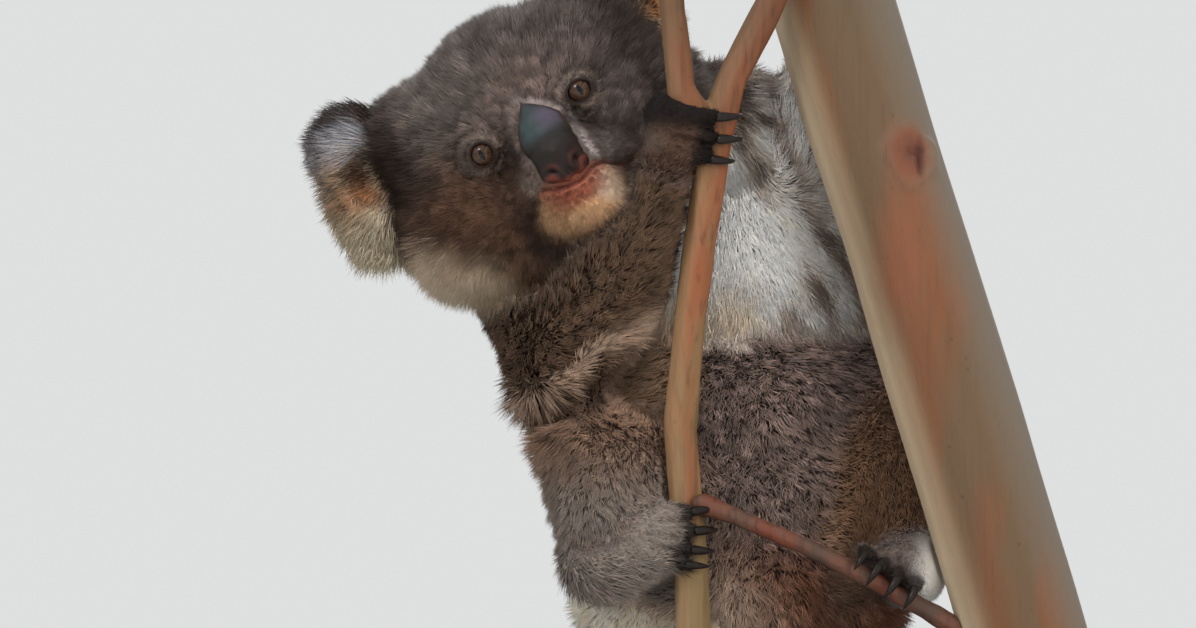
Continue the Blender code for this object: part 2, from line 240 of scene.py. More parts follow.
def mixed(tree, factor, *colours, way="MIX"):
    """A colour laid over another where the factor says."""
    pair = [colour if isinstance(colour, bpy.types.NodeSocket) else (*colour, 1) for colour in colours]
    sockets = {"Factor": factor, "A": pair[0], "B": pair[1]}
    return node(tree, "Mix", sockets, data_type="RGBA", blend_type=way).outputs["Result"]


def vector_node(tree, operation, *terms, out=0):
    """A sum with vectors in a shader, as one of its outputs."""
    return node(tree, "VectorMath", dict(enumerate(terms)), operation=operation).outputs[out]


def ranged(tree, value, start, end, top=1.0):
    """How far a value is on its way from a start to an end, in a shader."""
    return node(tree, "MapRange", {"Value": value, "From Min": start, "From Max": end, "To Max": top}).outputs[0]


def reach_of(tree, place, squash, scale):
    """The length of a place's vector in a shader, squashed along its axes and scaled."""
    far = vector_node(tree, "LENGTH", vector_node(tree, "MULTIPLY", place, squash), out="Value")
    return node(tree, "Math", {0: far, 1: scale}, operation="MULTIPLY").outputs[0]


def bark(name, pale, warm, cool, dark, patch_size, patch_length, streaking=0.55):
    """Smooth gum bark: pale wood, shed patches of warm and cool bark, thin streaks and tiny pits."""
    pale, warm, cool, dark = (tone(*colour) for colour in (pale, warm, cool, dark))
    made = finish(name, pale, 0.62, Specular_IOR_Level=0.35)
    tree = made.node_tree
    _, place = add_grain(made, (1, 1, 0.35), 420.0, 0.35, 0.0011)
    long_way = node(tree, "Mapping", {"Vector": place, "Scale": (1, 1, patch_length)}).outputs[0]
    patches = cloud(tree, long_way, patch_size, 4.0)
    colour = ramp(tree, patches, (0.40, cool), (0.49, pale), (0.53, pale), (0.60, warm))
    thin_way = node(tree, "Mapping", {"Vector": place, "Scale": (1, 1, 0.05)}).outputs[0]
    streaks = cloud(tree, thin_way, 330.0, 3.0)
    colour = mixed(tree, ramp(tree, streaks, (0.52, 0.0), (0.72, streaking)), colour, dark)
    specks = node(tree, "TexVoronoi", {"Vector": place, "Scale": 90.0, "Randomness": 1.0}).outputs["Distance"]
    colour = mixed(tree, ramp(tree, specks, (0.05, 0.6), (0.13, 0.0)), colour, dark)
    feed(made, colour)
    return made, tree, place, colour


def swell(shell, amount, size, seed):
    """Moves a shell's surface in and out by soft lumps, as wood grows."""
    shell.normal_update()
    for v in shell.verts:
        place = Vector((v.co.x, v.co.y, v.co.z * 0.4)) * size + Vector((seed, 0, 0))
        v.co += v.normal * amount * noise.noise(place)


trunk_bark, tree, place, colour = bark(
    "trunk_bark", (88, 68, 48), (102, 64, 39), (84, 68, 49), (66, 48, 36), 13.0, 0.22, 0.25
)
trunk_shell = shell_of(remeshed(merged_copy("perch_trunk"), "perch_trunk", 0.0022, 8))
swell(trunk_shell, TRUNK_SWELL, 22.0, 3.0)
ring = [v.co for v in trunk_shell.verts if abs(v.co.z - KNOT_HEIGHT) < 0.02]
axis_x = sum(co.x for co in ring) / len(ring)
axis_y = sum(co.y for co in ring) / len(ring)
knot = Vector((axis_x + KNOT_ASIDE, min(co.y for co in ring), KNOT_HEIGHT))
for v in trunk_shell.verts:
    aside = (v.co.x - knot.x) * 1000
    above = (v.co.z - knot.z) * 1000
    if v.co.y < axis_y and math.hypot(aside, above) < KNOT_REACH:
        uneven = noise.noise(Vector((aside, above, 4.0)) * 0.09) * 0.3
        reach = math.hypot(aside / 14, above / 18.5) + uneven
        collar = math.exp(-(((reach - 0.8) / 0.22) ** 2)) * 2.2 + max(0.0, 1 - reach) * 1.6
        bar = math.exp(-(((aside - 4.5) / 5.5) ** 4) - ((above - 2.5 + 0.2 * aside) / 1.7) ** 2)
        stalk = math.exp(-(((aside - 7.0) / 1.9) ** 2) - ((above + 5.5) / 7.0) ** 4)
        v.co += v.normal * (collar - max(bar, stalk) * 4.2) / 1000
across = vector_node(tree, "DOT_PRODUCT", place, TRUNK_ACROSS, out="Value")
side_share = ranged(tree, across, TRUNK_MIDDLE - TRUNK_RADIUS, TRUNK_MIDDLE + TRUNK_RADIUS)
# Across the trunk: the left edge is painted bright cream, a painted rim light from behind, and the right edge is
# painted greyer.
rim_light_and_grey_edge_stops = ((0.03, tone(196, 176, 148)), (0.28, tone(128, 106, 80)), (0.6, tone(100, 91, 80)))
rim_light_and_grey_edge_colour = ramp(tree, side_share, *rim_light_and_grey_edge_stops)
rim_light_and_grey_edge_mask = ramp(tree, side_share, (0.0, 0.95), (0.30, 0.0), (0.62, 0.0), (0.95, 0.8))
colour = mixed(tree, rim_light_and_grey_edge_mask, colour, rim_light_and_grey_edge_colour)
bend = vector_node(tree, "SUBTRACT", cloud(tree, place, 70.0, 2.0, "Color"), (0.5, 0.5, 0.5))
from_knot = vector_node(tree, "SUBTRACT", place, knot)
shifted = vector_node(tree, "MULTIPLY_ADD", bend, (0.012, 0.012, 0.012), from_knot)
reach = reach_of(tree, shifted, (1.0, 0.3, 0.75), 30.0)
scar_colour = ramp(tree, reach, (0.05, tone(84, 47, 34)), (0.25, tone(104, 62, 44)), (0.42, tone(104, 78, 60)))
colour = mixed(tree, ramp(tree, reach, (0.30, 0.9), (0.52, 0.0)), colour, scar_colour)
reach = reach_of(tree, vector_node(tree, "ADD", shifted, (0.004, 0, 0.056)), (1.0, 0.0, 0.36), 30.0)
colour = mixed(tree, ramp(tree, reach, (0.2, 0.6), (0.6, 0.0)), colour, tone(116, 68, 44))
slit = vector_node(tree, "SUBTRACT", place, knot + Vector((0.006, 0, -0.001)))
reach = reach_of(tree, slit, (1.5, 0.0, 0.45), 60.0)
feed(trunk_bark, mixed(tree, ramp(tree, reach, (0.1, 0.85), (0.36, 0.0)), colour, tone(64, 34, 26)))
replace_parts(piece_from(trunk_shell, "bark_trunk", trunk_bark), "perch_trunk")

stem_bark, tree, place, colour = bark(
    "stem_bark", (124, 76, 49), (128, 64, 37), (112, 92, 62), (64, 38, 25), 26.0, 0.16
)
# The stem is painted darker higher up, from 0.36 to 0.46 above the floor.
higher_up = ranged(tree, node(tree, "SeparateXYZ", {0: place}).outputs["Z"], 0.36, 0.46)
# The side of the stem that faces left is painted lighter, painted light.
facing = node(tree, "SeparateXYZ", {0: node(tree, "NewGeometry").outputs["Normal"]}).outputs["X"]
colour = mixed(tree, ranged(tree, facing, 0.1, -0.8, 0.75), colour, tone(146, 116, 84))
feed(stem_bark, mixed(tree, higher_up, colour, mixed(tree, 0.6, colour, tone(62, 40, 26))))
stem_shell = shell_of(remeshed(merged_copy("perch_stem"), "perch_stem", 0.0013, 6))
swell(stem_shell, STEM_SWELL, 60.0, 9.0)
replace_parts(piece_from(stem_shell, "bark_stem", stem_bark), "perch_stem")

branch_bark = bark("branch_bark", (90, 58, 44), (96, 50, 35), (72, 54, 45), (46, 29, 23), 40.0, 0.5)[0]
branch_shell = shell_of(remeshed(merged_copy("perch_branch"), "perch_branch", 0.0009, 6))
swell(branch_shell, BRANCH_SWELL, 110.0, 5.0)
for v in branch_shell.verts:
    joined = max(0.0, min(1.0, (0.004 - v.co.x) / 0.014))
    v.co += (BRANCH_JOIN + v.normal * BRANCH_FLARE) * joined**2
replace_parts(piece_from(branch_shell, "bark_branch", branch_bark), "perch_branch")

# ---------------------------------------------------------------- skin
# One taxidermist's skin over the whole body: a tanned hide glued to a carved form.
# It lies inside the coat's outline by the depth of the hair, and is thin on the
# face, hands and feet. The eyelids and the line of the mouth are worked in it.

HIDE_DEPTH = {
    "head": 0.0052, "ear_left": 0.0055, "ear_right": 0.0055, "neck": 0.0085, "trunk": 0.0085, "tail": 0.006,
    "arm_left": 0.0075, "arm_right": 0.0075, "leg_left": 0.0075, "leg_right": 0.0075,
    "hand_left": 0.0016, "hand_right": 0.0016, "foot_left": 0.002, "foot_right": 0.002,
}
SIDES = (("left", 1), ("right", -1))
SKIN_VOXEL = 0.0019
HEAD_TILT = math.radians(-33)
HEAD_TURN = math.radians(-3)
NOSE_TIP = (0, -34, -26)
EYE_ASIDE = 31.5
EYE_RADIUS = 0.0088
EYE_BEHIND_FACE = 0.0053
EYE_OPENING = {"left": (0.0071, 0.0054), "right": (0.0064, 0.0064)}
LID_THICKNESS = 0.0011
LID_SNAP = 0.0003
LID_REACH = 0.021
EAR_DRAWN_IN = {"left": 0.34, "right": 0.18}
MOUTH = ((-15, -38.5), (-10, -41.5), (-3, -44.5), (6, -46), (14, -43), (20, -42.5), (31, -49.5))
MOUTH_DEPTH = 0.0013
LIP_HEIGHT = 0.0006
PAD_LEFT = (
    (-44, 2.0), (-42.4, -2.0), (-39, -8.6), (-34.6, -11.7), (-29.6, -11.4), (-24.7, -10.6), (-17.6, -11.8),
    (-10.6, -12.2), (-1.5, -7.8), (6.1, -2.4), (9.6, 0.6),
)
PAD_RIGHT = (
    (-44, 7.0), (-42.6, 11.0), (-41, 14.8), (-38, 16.6), (-31.4, 16.8), (-22, 17.2), (-14, 17.5),
    (-5.7, 17.2), (1.4, 12.3), (6.8, 6.0), (9.6, 2.2),
)
PAD_BED = 0.005
GROOVE_DEPTH = 0.0038
GROOVE_WIDTH = 0.0021
GROOVE_LENGTH = {"hand": 0.034, "foot": 0.019}
KNUCKLE_HEIGHT = 0.0045

head_axes = np.array(Matrix.Rotation(HEAD_TILT, 3, "Y") @ Matrix.Rotation(HEAD_TURN, 3, "Z"))


def middle(name):
    """The middle of a CAD node's box."""
    low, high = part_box(name)
    return np.array((low + high) / 2)


eye_centres = {side: middle("eye_" + side) for side, _ in SIDES}
head_home = (eye_centres["left"] + eye_centres["right"]) / 2 - head_axes[:, 1] * EYE_BEHIND_FACE


def to_head(points):
    """Places in millimetres from between the eyes: x to the head's left, y back, z to its crown."""
    return (points - head_home) @ head_axes * 1000


def held(values):
    """Values kept between 0 and 1."""
    return np.clip(values, 0, 1)


def bell(values, reach):
    """1 where a value is 0, falling off on both sides like a bell."""
    return np.exp(-((values / reach) ** 2))


def lengths(arrows):
    """The length of each arrow."""
    return np.linalg.norm(arrows, axis=1)


def ease(low, high, value):
    """Rises gently from 0 at low to 1 at high."""
    share = held((value - low) / (high - low))
    return share * share * (3 - 2 * share)


def spot(points, centre, reach, edge=0.35):
    """1 inside an egg round a centre, falling gently to 0 past its edge."""
    far = lengths((points - np.array(centre)) / np.array(reach))
    return 1 - ease(1 - edge, 1 + edge, far)


def read(rows, key, width=3, kind=float):
    """One attribute of all the rows of a mesh as an array."""
    flat = np.empty(len(rows) * width, kind)
    rows.foreach_get(key, flat)
    return flat.reshape(-1, width)


def put_points(mesh, points):
    """Moves the corners of a mesh to new places."""
    mesh.vertices.foreach_set("co", points.ravel())
    mesh.update()


def blurred(values, edges, rounds):
    """Values at the corners of a mesh, each evened out with its neighbours for some rounds."""
    count = len(values)
    ends, others = edges.T.ravel(), edges.T[::-1].ravel()
    shares = np.bincount(ends, minlength=count)[:, None] + 1.0
    even = values.reshape(count, -1).astype(float)
    for _ in range(rounds):
        total = even.copy()
        for column in range(even.shape[1]):
            total[:, column] += np.bincount(ends, weights=even[others, column], minlength=count)
        even = total / shares
    return even.reshape(values.shape)


def unit(arrows):
    """Directions of length 1."""
    return arrows / np.maximum(np.linalg.norm(arrows, axis=-1, keepdims=True), 1e-9)


def beside_line(across, upward, line, reach):
    """1 along a line drawn on the front of the model, in millimetres, falling to 0 at each side."""
    gap = np.full(len(across), 1e3)
    for (x0, z0), (x1, z1) in zip(line, line[1:]):
        along = (across - x0) * (x1 - x0) + (upward - z0) * (z1 - z0)
        share = held(along / ((x1 - x0) ** 2 + (z1 - z0) ** 2))
        gap = np.minimum(gap, np.hypot(across - x0 - share * (x1 - x0), upward - z0 - share * (z1 - z0)))
    return bell(gap, reach)


def whole_body():
    """Every node of flesh, with the eyes and nose to fill their sockets, as overlapping shells in one bmesh."""
    body = bmesh.new()
    for name in (*HIDE_DEPTH, "eye_left", "eye_right", "nose"):
        kept = mesh_of(merged_copy(name, 0.0005), "kept")
        body.from_mesh(kept)
        bpy.data.meshes.remove(kept)
    return body


def finer_face(mesh):
    """Cuts the skin's faces smaller round the eyes and the muzzle, where folds are worked."""
    shell = shell_of(mesh)
    for eye_reach, muzzle_reach in ((18, 30), (12, 0)):
        points = to_head(np.array([v.co for v in shell.verts]))
        close = np.zeros(len(points), bool)
        for side in (-1, 1):
            close |= lengths(points - np.array((EYE_ASIDE * side, 0, 0))) < eye_reach
        close |= lengths((points - np.array((1, -28, -47))) * np.array((1, 0.8, 1))) < muzzle_reach
        shell.verts.ensure_lookup_table()
        cut = [e for e in shell.edges if close[e.verts[0].index] and close[e.verts[1].index]]
        bmesh.ops.subdivide_edges(shell, edges=cut, cuts=1, use_grid_fill=True, smooth=0.0)
        shell.verts.index_update()
    shell.to_mesh(mesh)
    shell.free()


skin_mesh = remeshed(whole_body(), "skin", SKIN_VOXEL, 3)
finer_face(skin_mesh)
skin_points = read(skin_mesh.vertices, "co")
skin_edges = read(skin_mesh.edges, "vertices", 2, int)


def owners():
    """How much each corner of the skin belongs to each node of flesh, gently mixed where they meet."""
    nearest = np.full(len(skin_points), 1.0)
    owner = np.zeros(len(skin_points), int)
    for index, name in enumerate(HIDE_DEPTH):
        shell = merged_copy(name)
        surface = BVHTree.FromBMesh(shell)
        shell.free()
        low, high = (np.array(c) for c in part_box(name))
        inside = np.all((skin_points > low - 0.006) & (skin_points < high + 0.006), axis=1)
        for corner in np.nonzero(inside)[0]:
            gap = surface.find_nearest(skin_points[corner], 0.012)[3]
            if gap is not None and gap < nearest[corner]:
                nearest[corner] = gap
                owner[corner] = index
    return blurred(np.eye(len(HIDE_DEPTH))[owner], skin_edges, 12)


part = dict(zip(HIDE_DEPTH, owners().T))
ear, arm, leg, hand, foot = (
    part[kind + "_left"] + part[kind + "_right"] for kind in ("ear", "arm", "leg", "hand", "foot")
)
head, neck, trunk, tail = (part[name] for name in ("head", "neck", "trunk", "tail"))
paw = hand + foot
limb = held(arm + leg)

bare = held(paw)[:, None]
skin_points = blurred(skin_points, skin_edges, 14) * (1 - bare) + blurred(skin_points, skin_edges, 1) * bare
put_points(skin_mesh, skin_points)
skin_normals = read(skin_mesh.vertex_normals, "vector")
face_place = to_head(skin_points)
from_nose = lengths(face_place - np.array(NOSE_TIP))

hide_depth = sum(part[name] * depth for name, depth in HIDE_DEPTH.items())
hide_depth = hide_depth * (1 - head) + head * (0.0012 + 0.006 * ease(18, 95, from_nose))
hide_depth = blurred(hide_depth, skin_edges, 6)
skin_points = skin_points - skin_normals * hide_depth[:, None]
for side, sign in SIDES:
    seat = head_home + head_axes @ (np.array((62 * sign, 46, 22)) / 1000)
    skin_points += (seat - skin_points) * (EAR_DRAWN_IN[side] * part["ear_" + side])[:, None]
skin_points = blurred(skin_points, skin_edges, 1)


def work_eyelids(points, side):
    """Lays the skin round one eye over the ball; gives its gaze and how far each corner is past the rim."""
    centre = eye_centres[side]
    close = lengths(points - centre) < 0.019
    gaze = unit(skin_normals[close].mean(0) * 0.75 - head_axes[:, 1] * 0.25)
    away = points - centre
    height = away @ gaze
    flat = away - height[:, None] * gaze
    reach = lengths(flat)
    up = unit(head_axes[:, 2] - gaze * (gaze @ head_axes[:, 2]))
    turn = np.arctan2(flat @ up, flat @ np.cross(up, gaze))
    half_width, half_height = EYE_OPENING[side]
    rim = 1 / np.hypot(np.cos(turn) / half_width, np.sin(turn) / half_height)
    lid = np.sqrt(np.maximum((EYE_RADIUS + LID_THICKNESS) ** 2 - np.minimum(reach, 0.0092) ** 2, 0))
    brow = 0.0007 * bell(reach - 0.0098, 0.0022) * held(np.sin(turn) + 0.25)
    blend = ease(0.0074, 0.0135, reach)
    target = lid * (1 - blend) + height * blend + brow
    under = np.sqrt(np.maximum(EYE_RADIUS**2 - reach**2, 0)) - 0.0016
    target = np.where(reach < rim - LID_SNAP, under, target)
    worked = (lengths(away) < LID_REACH) & (height > -0.008)
    on_rim = (np.abs(reach - rim) < LID_SNAP) & (height > 0)
    moved = points.copy()
    moved[worked] += gaze * (target - height)[worked, None]
    moved[on_rim] += flat[on_rim] * (rim / reach - 1)[on_rim, None]
    return moved, gaze, np.where(worked, reach - rim, 1.0), np.where(worked, np.sin(turn), 0)


def claw_roots():
    """Where each claw leaves its toe, by the paw that it belongs to."""
    roots = {}
    for name in claw_names:
        corners = read(nodes[name].data.vertices, "co")
        far = lengths(corners - middle(name[5:-2]))
        roots.setdefault(name[5:-2], []).append(corners[far <= np.quantile(far, 0.2)].mean(0))
    return roots


def toe_grooves(points):
    """1 along the creases between neighbouring fingers and toes, from their tips to the palm or sole."""
    crease = np.zeros(len(points))
    for paw_name, roots in toe_ends.items():
        length = GROOVE_LENGTH[paw_name[:4]]
        for row in (roots[:3], roots[3:]) if paw_name.startswith("hand") else (roots,):
            for one, other in zip(row, row[1:]):
                between = (one + other) / 2
                away = points - between
                aside = away @ unit(other - one)
                reach = away @ unit(middle(paw_name) - between)
                run = ease(length, length * 0.4, reach) * ease(-0.012, -0.007, reach)
                near = lengths(away) < length + 0.005
                crease = np.maximum(crease, bell(aside, GROOVE_WIDTH) * run * near)
    return crease


def raised(amount):
    """The skin's corners moved out along its normals by an amount for each."""
    return skin_points + skin_normals * amount[:, None]


claw_names = sorted(name for name in nodes if name.startswith("claw_"))
toe_ends = claw_roots()
skin_points = raised(-toe_grooves(skin_points) * held(paw) * GROOVE_DEPTH)
knuckles = spot(skin_points * 1000, (-44, -108, 402), (13, 20, 11), 0.8)
skin_points = raised(knuckles * part["hand_right"] * KNUCKLE_HEIGHT)
toe_tip = np.full(len(skin_points), 1.0)
for root in (place for roots in toe_ends.values() for place in roots):
    toe_tip = np.minimum(toe_tip, lengths(skin_points - root))

eye_gaze = {}
past_rim = np.ones(len(skin_points))
lid_side = np.zeros(len(skin_points))
for side, _ in SIDES:
    skin_points, eye_gaze[side], gap, upward = work_eyelids(skin_points, side)
    lid_side = np.where(gap < past_rim, upward, lid_side)
    past_rim = np.minimum(past_rim, gap)

face_place = to_head(skin_points)
face_x, face_y, face_z = face_place.T
on_mouth = (face_y < 8) * head
mouth_line = beside_line(face_x, face_z, MOUTH, 0.9) * on_mouth
lip = beside_line(face_x, face_z + 4.0, MOUTH, 3.2) * on_mouth
skin_points = raised(lip * LIP_HEIGHT - mouth_line * MOUTH_DEPTH)
for _, sign in SIDES:
    skin_points = raised(head * spot(face_place, (76 * sign, 50, 52), (26, 34, 20), 0.7) * 0.004)
skin_points = raised(spot(skin_points * 1000, (-102, -40, 245), (26, 60, 24), 0.7) * limb * 0.005)
pad_left = np.interp(face_z, *zip(*PAD_LEFT))
pad_right = np.interp(face_z, *zip(*PAD_RIGHT))
pad_room = np.minimum(face_x - pad_left, pad_right - face_x)
under_pad = ease(0.8, 3.0, pad_room) * ease(-42, -38, face_z) * ease(9, 3, face_z)
under_pad *= (face_y < 4) * head
skin_points = skin_points + head_axes[:, 1] * (under_pad * PAD_BED)[:, None]
put_points(skin_mesh, skin_points)
skin_normals = read(skin_mesh.vertex_normals, "vector")
face_place = to_head(skin_points)
face_x, face_y, face_z = face_place.T
skin_mm = skin_points * 1000
x_mm, y_mm, z_mm = skin_mm.T

# Colours of the hide and the coat by part.
ASH = (112, 101, 96)
LILAC = (130, 112, 104)
UMBER = (104, 72, 51)
ARM_BROWN = (90, 70, 55)
SHIN_GREY = (150, 138, 129)
WHITE = (252, 249, 244)
CREAM = (232, 206, 184)
TAN = (172, 120, 82)
CHARCOAL = (76, 66, 64)
# Painted shade for the ear's hollow.
EAR_HOLLOW_SHADE = (58, 32, 19)
PAW_BLACK = (25, 18, 16)
CHIN_PINK = (188, 108, 86)
CHIN_CREAM = (216, 172, 132)
LIP_RED = (112, 48, 40)
LID_DARK = (40, 30, 27)
RUMP_BROWN = (132, 80, 52)
ELBOW_LINE = ((-116, 252), (-90, 262), (-72, 276), (-36, 300))
CHEST_EDGE = ((276, 285, 301, 317, 344, 386, 405), (0, 8, 20, 33, 38, 10, -4))


def painted(count, base, layers):
    """A colour for each of some corners: a base, and over it each layer's colour where its mask says."""
    colour = np.tile(tone(*base), (count, 1))
    for shade, mask in layers:
        colour = colour * (1 - mask[:, None]) + tone(*shade) * mask[:, None]
    return colour


def head_spot(centre, reach, edge):
    """A soft egg on the head, in the head's own axes."""
    return head * spot(face_place, centre, reach, edge)


def body_spot(mask, centre, reach, edge=0.5):
    """A soft egg on some parts of the body, in millimetres of the model."""
    return mask * spot(skin_mm, centre, reach, edge)


front_half = y_mm < 0
jaw_reach = np.hypot(face_x * 0.9, face_z + 6)
under_jaw = (head + neck) * ease(60, 74, jaw_reach)
low_jaw = held(under_jaw) * ease(-34, -50, face_z)
ruff = blurred(under_jaw * ease(-14, -32, face_z) * ease(-44, -62, face_x), skin_edges, 5)
painted_shade_by_ear = spot(face_place, (-76, 26, 26), (20, 60, 36), 0.6) + spot(face_place, (76, 26, 26), (20, 60, 36), 0.6)
fringe = held(arm) * beside_line(x_mm, z_mm, ELBOW_LINE, 4.5) * front_half
shaded = held(arm + leg + trunk)
shaded = shaded * beside_line(x_mm, z_mm, ((-96, 246), (-70, 262), (-40, 284)), 7) * front_half

chest = ease(6, -5, x_mm - np.interp(z_mm, *CHEST_EDGE)) * ease(278, 306, z_mm + 4 * np.sin(x_mm * 0.4))
chest = chest * ease(424, 404, z_mm) * (skin_normals[:, 1] < 0.35)
chest = blurred(chest * (trunk + neck), skin_edges, 4)
lower_chest = held(chest * (1 - ease(300, 345, z_mm)) * ease(30, 8, x_mm))
rump = blurred(trunk * (1 - ease(150, 190, z_mm)), skin_edges, 4)
on_flank = ease(2, 14, x_mm) * ease(286, 312, z_mm) * ease(470, 430, z_mm)
on_flank *= ease(0.5, -0.1, skin_normals[:, 1]) * ease(44, 14, y_mm)
on_flank = held(blurred(on_flank * (trunk + part["arm_left"] + neck), skin_edges, 4))
flank = on_flank * (1 - held(chest))
banded = 0.5 + 0.5 * np.sin(
    z_mm * 0.16 + x_mm * 0.31 + 1.3 * np.sin(z_mm * 0.06 - x_mm * 0.035) + 1.2 * np.sin(y_mm * 0.12)
)
patchy = 0.5 + 0.5 * np.sin(x_mm * 0.05 - z_mm * 0.09 + y_mm * 0.21 + 1.2)
bands = flank * ease(0.44, 0.82, banded * 0.75 + patchy * 0.25)

layers = [
    (ARM_BROWN, held(arm)),
    ((138, 118, 110), trunk),
    ((147, 118, 99), held(leg)),
    (SHIN_GREY, part["leg_right"] * (1 - ease(185, 235, z_mm)) * (1 - ease(-30, 10, x_mm))),
    (ASH, head),
    (LILAC, head_spot((8, -15, 8), (26, 45, 30), 0.6)),
    (UMBER, head_spot((-54, 0, -34), (50, 60, 42), 0.6) * 0.85),
    # A lighter spot high on the head's right side, painted light where it faces up towards the key lamp.
    ((136, 124, 116), head_spot((-38, 20, 44), (30, 60, 24), 0.7) * 0.8),
    ((84, 72, 68), head_spot((48, 0, -10), (24, 60, 44), 0.6) * 0.7),
    ((118, 90, 68), low_jaw * ease(20, -20, face_x)),
    ((84, 62, 47), low_jaw * ease(-20, 20, face_x)),
    ((236, 212, 184), held(ruff) * 0.85),
    # Dark patches on the head beside each ear, painted shade where the ears meet the head.
    ((54, 38, 30), head * held(painted_shade_by_ear) * (0.9 - 0.35 * (face_x > 0))),
    ((178, 152, 132), fringe * 0.8),
    ((70, 52, 42), shaded * (1 - fringe) * 0.6),
    (WHITE, held(chest * 1.1)),
    (CREAM, lower_chest),
    # A paler patch on the belly under the right forearm, painted light that lifts the arm's shadow there.
    ((190, 158, 132), body_spot(trunk, (-44, -40, 272), (26, 70, 34))),
    (RUMP_BROWN, rump * (skin_normals[:, 1] < 0.2) * 0.8),
    ((255, 236, 214), body_spot(trunk, (-52, 0, 128), (60, 62, 44), 0.8)),
    ((255, 246, 236), flank),
    ((112, 90, 77), bands * 0.85),
    ((150, 132, 112), tail * 0.8),
    ((122, 90, 66), body_spot(part["leg_left"], (82, -30, 206), (40, 60, 50)) * 0.8),
]
for side, sign in SIDES:
    lobe = part["ear_" + side]
    inner = lobe * ease(0.35, -0.05, skin_normals @ head_axes[:, 1])
    local = (face_place - np.array((97 * sign, 26, 28))) * np.array((sign, 1, 1))
    out, _, rise = local.T
    layers += [
        (ASH, lobe),
        ((190, 177, 153), np.maximum(inner, lobe * ease(14, -10, rise))),
        (CHARCOAL, lobe * ease(2, 20, rise - out * 0.25)),
        ((202, 204, 213), lobe * spot(local, (-8, -8, 18), (19, 26, 9), 0.5) * 0.85),
        ((142, 116, 93), inner * spot(local, (-1, -6, 2), (16, 40, 16), 0.6) * 0.9),
        (TAN, inner * spot(local, (-4, -6, -6), (12, 40, 9), 0.6)),
        # The ear's hollow is painted dark brown, painted shade.
        (EAR_HOLLOW_SHADE, inner * spot(local, (-8, -6, 4), (11, 40, 6.5), 0.7)),
        ((112, 84, 64), inner * spot(local, (-14, -6, -24), (7, 40, 12), 0.7) * 0.9),
        # The ear's edge next to the head is painted dark, painted shadow where the ear meets the head.
        ((50, 35, 27), lobe * ease(17, 27, -out) * ease(-46, -24, rise)),
    ]

chin_sides = spot(face_place, (33, -8, -54), (10, 26, 13), 0.5)
chin_sides += spot(face_place, (-26, -8, -52), (9, 26, 15), 0.5)
nose_rim = beside_line(face_x, face_z, ((1, 11), (19, -6), (19.5, -24), (19.5, -39)), 1.3)
nose_rim = np.maximum(nose_rim, 0.35 * beside_line(face_x, face_z, ((0, 11), (-13, -5), (-13, -24)), 2.0))
mouth_side = beside_line(face_x, face_z, ((20, -43), (31, -47), (46, -44)), 3.4)
chin = head_spot((0, -22, -53.5), (24.5, 36, 15), 0.22) * (face_y < 8)
lid_edge = 1 - ease(0.0006, 0.0022, past_rim)
pale_ring = ease(0.0012, 0.0024, past_rim) * (1 - ease(0.0034, 0.0055, past_rim))
on_hands = held(hand)
heel = body_spot(part["foot_left"] + part["leg_left"], (118, -46, 142), (20, 60, 34))
layers += [
    ((66, 50, 43), head * held(chin_sides) * 0.8),
    ((196, 182, 178), head * nose_rim * 0.7),
    ((38, 25, 20), head * mouth_side * 0.85 * (face_y < 8)),
    (CHIN_CREAM, chin),
    ((212, 190, 172), chin * spot(face_place, (17, -20, -52), (9, 30, 8), 0.5) * 0.8),
    (CHIN_PINK, head_spot((1, -30, -47), (15, 30, 7.5), 0.55) * 0.9),
    ((150, 92, 72), head_spot((-10, -28, -40), (7, 30, 4), 0.6) * 0.8),
    ((150, 134, 124), head_spot((-17, -24, -31), (4, 24, 6), 0.6) * 0.8),
    ((128, 70, 55), head_spot((5, -30, -42.5), (17, 24, 4.0), 0.4) * 0.85),
    (LIP_RED, held(mouth_line) * 0.6),
    ((168, 150, 138), pale_ring * 0.65),
    (LID_DARK, lid_edge * (0.75 + 0.2 * held(lid_side))),
    ((78, 58, 47), on_hands),
    (PAW_BLACK, on_hands * np.maximum(ease(388, 402, z_mm), ease(0.015, 0.008, toe_tip))),
    # A paler band across the lower fingers of the right hand, a painted highlight.
    ((96, 82, 74), body_spot(part["hand_right"], (-48, -100, 388), (10, 40, 6), 0.8) * 0.7),
    ((142, 130, 122), part["foot_right"]),
    ((106, 93, 87), part["foot_left"]),
    (WHITE, held(heel) * 0.9),
    (PAW_BLACK, ease(0.017, 0.009, toe_tip) * held(paw) * 0.9),
]
coat_colour = painted(len(skin_points), ASH, layers)


def make_mottle_group():
    """Breaks a colour up into slightly lighter and darker hairs."""
    inputs = (("Place", "Vector"), ("Colour", "Color"), ("Scale", "Float"))
    group, given, result = new_group("hair_mottle", inputs, (("Colour", "Color"),))
    shade = ramp(group, cloud(group, given["Place"], given["Scale"], 4.0), (0.35, 0.84), (0.65, 1.0))
    group.links.new(mixed(group, 1.0, given["Colour"], shade, way="MULTIPLY"), result["Colour"])
    return group


MOTTLE = make_mottle_group()


def furry(name, roughness, mottle_size, grain_size, grain_depth):
    """A finish that takes its colour from the markings and breaks it up as hair does."""
    made = finish(name, tone(100, 90, 84), roughness, Specular_IOR_Level=0.25)
    _, place = add_grain(made, (1, 1, 1), grain_size, 0.5, grain_depth)
    marked = node(made.node_tree, "Attribute", attribute_name="markings").outputs["Color"]
    values = {"Place": place, "Colour": marked, "Scale": mottle_size}
    feed(made, node(made.node_tree, "Group", values, node_tree=MOTTLE).outputs["Colour"])
    return made


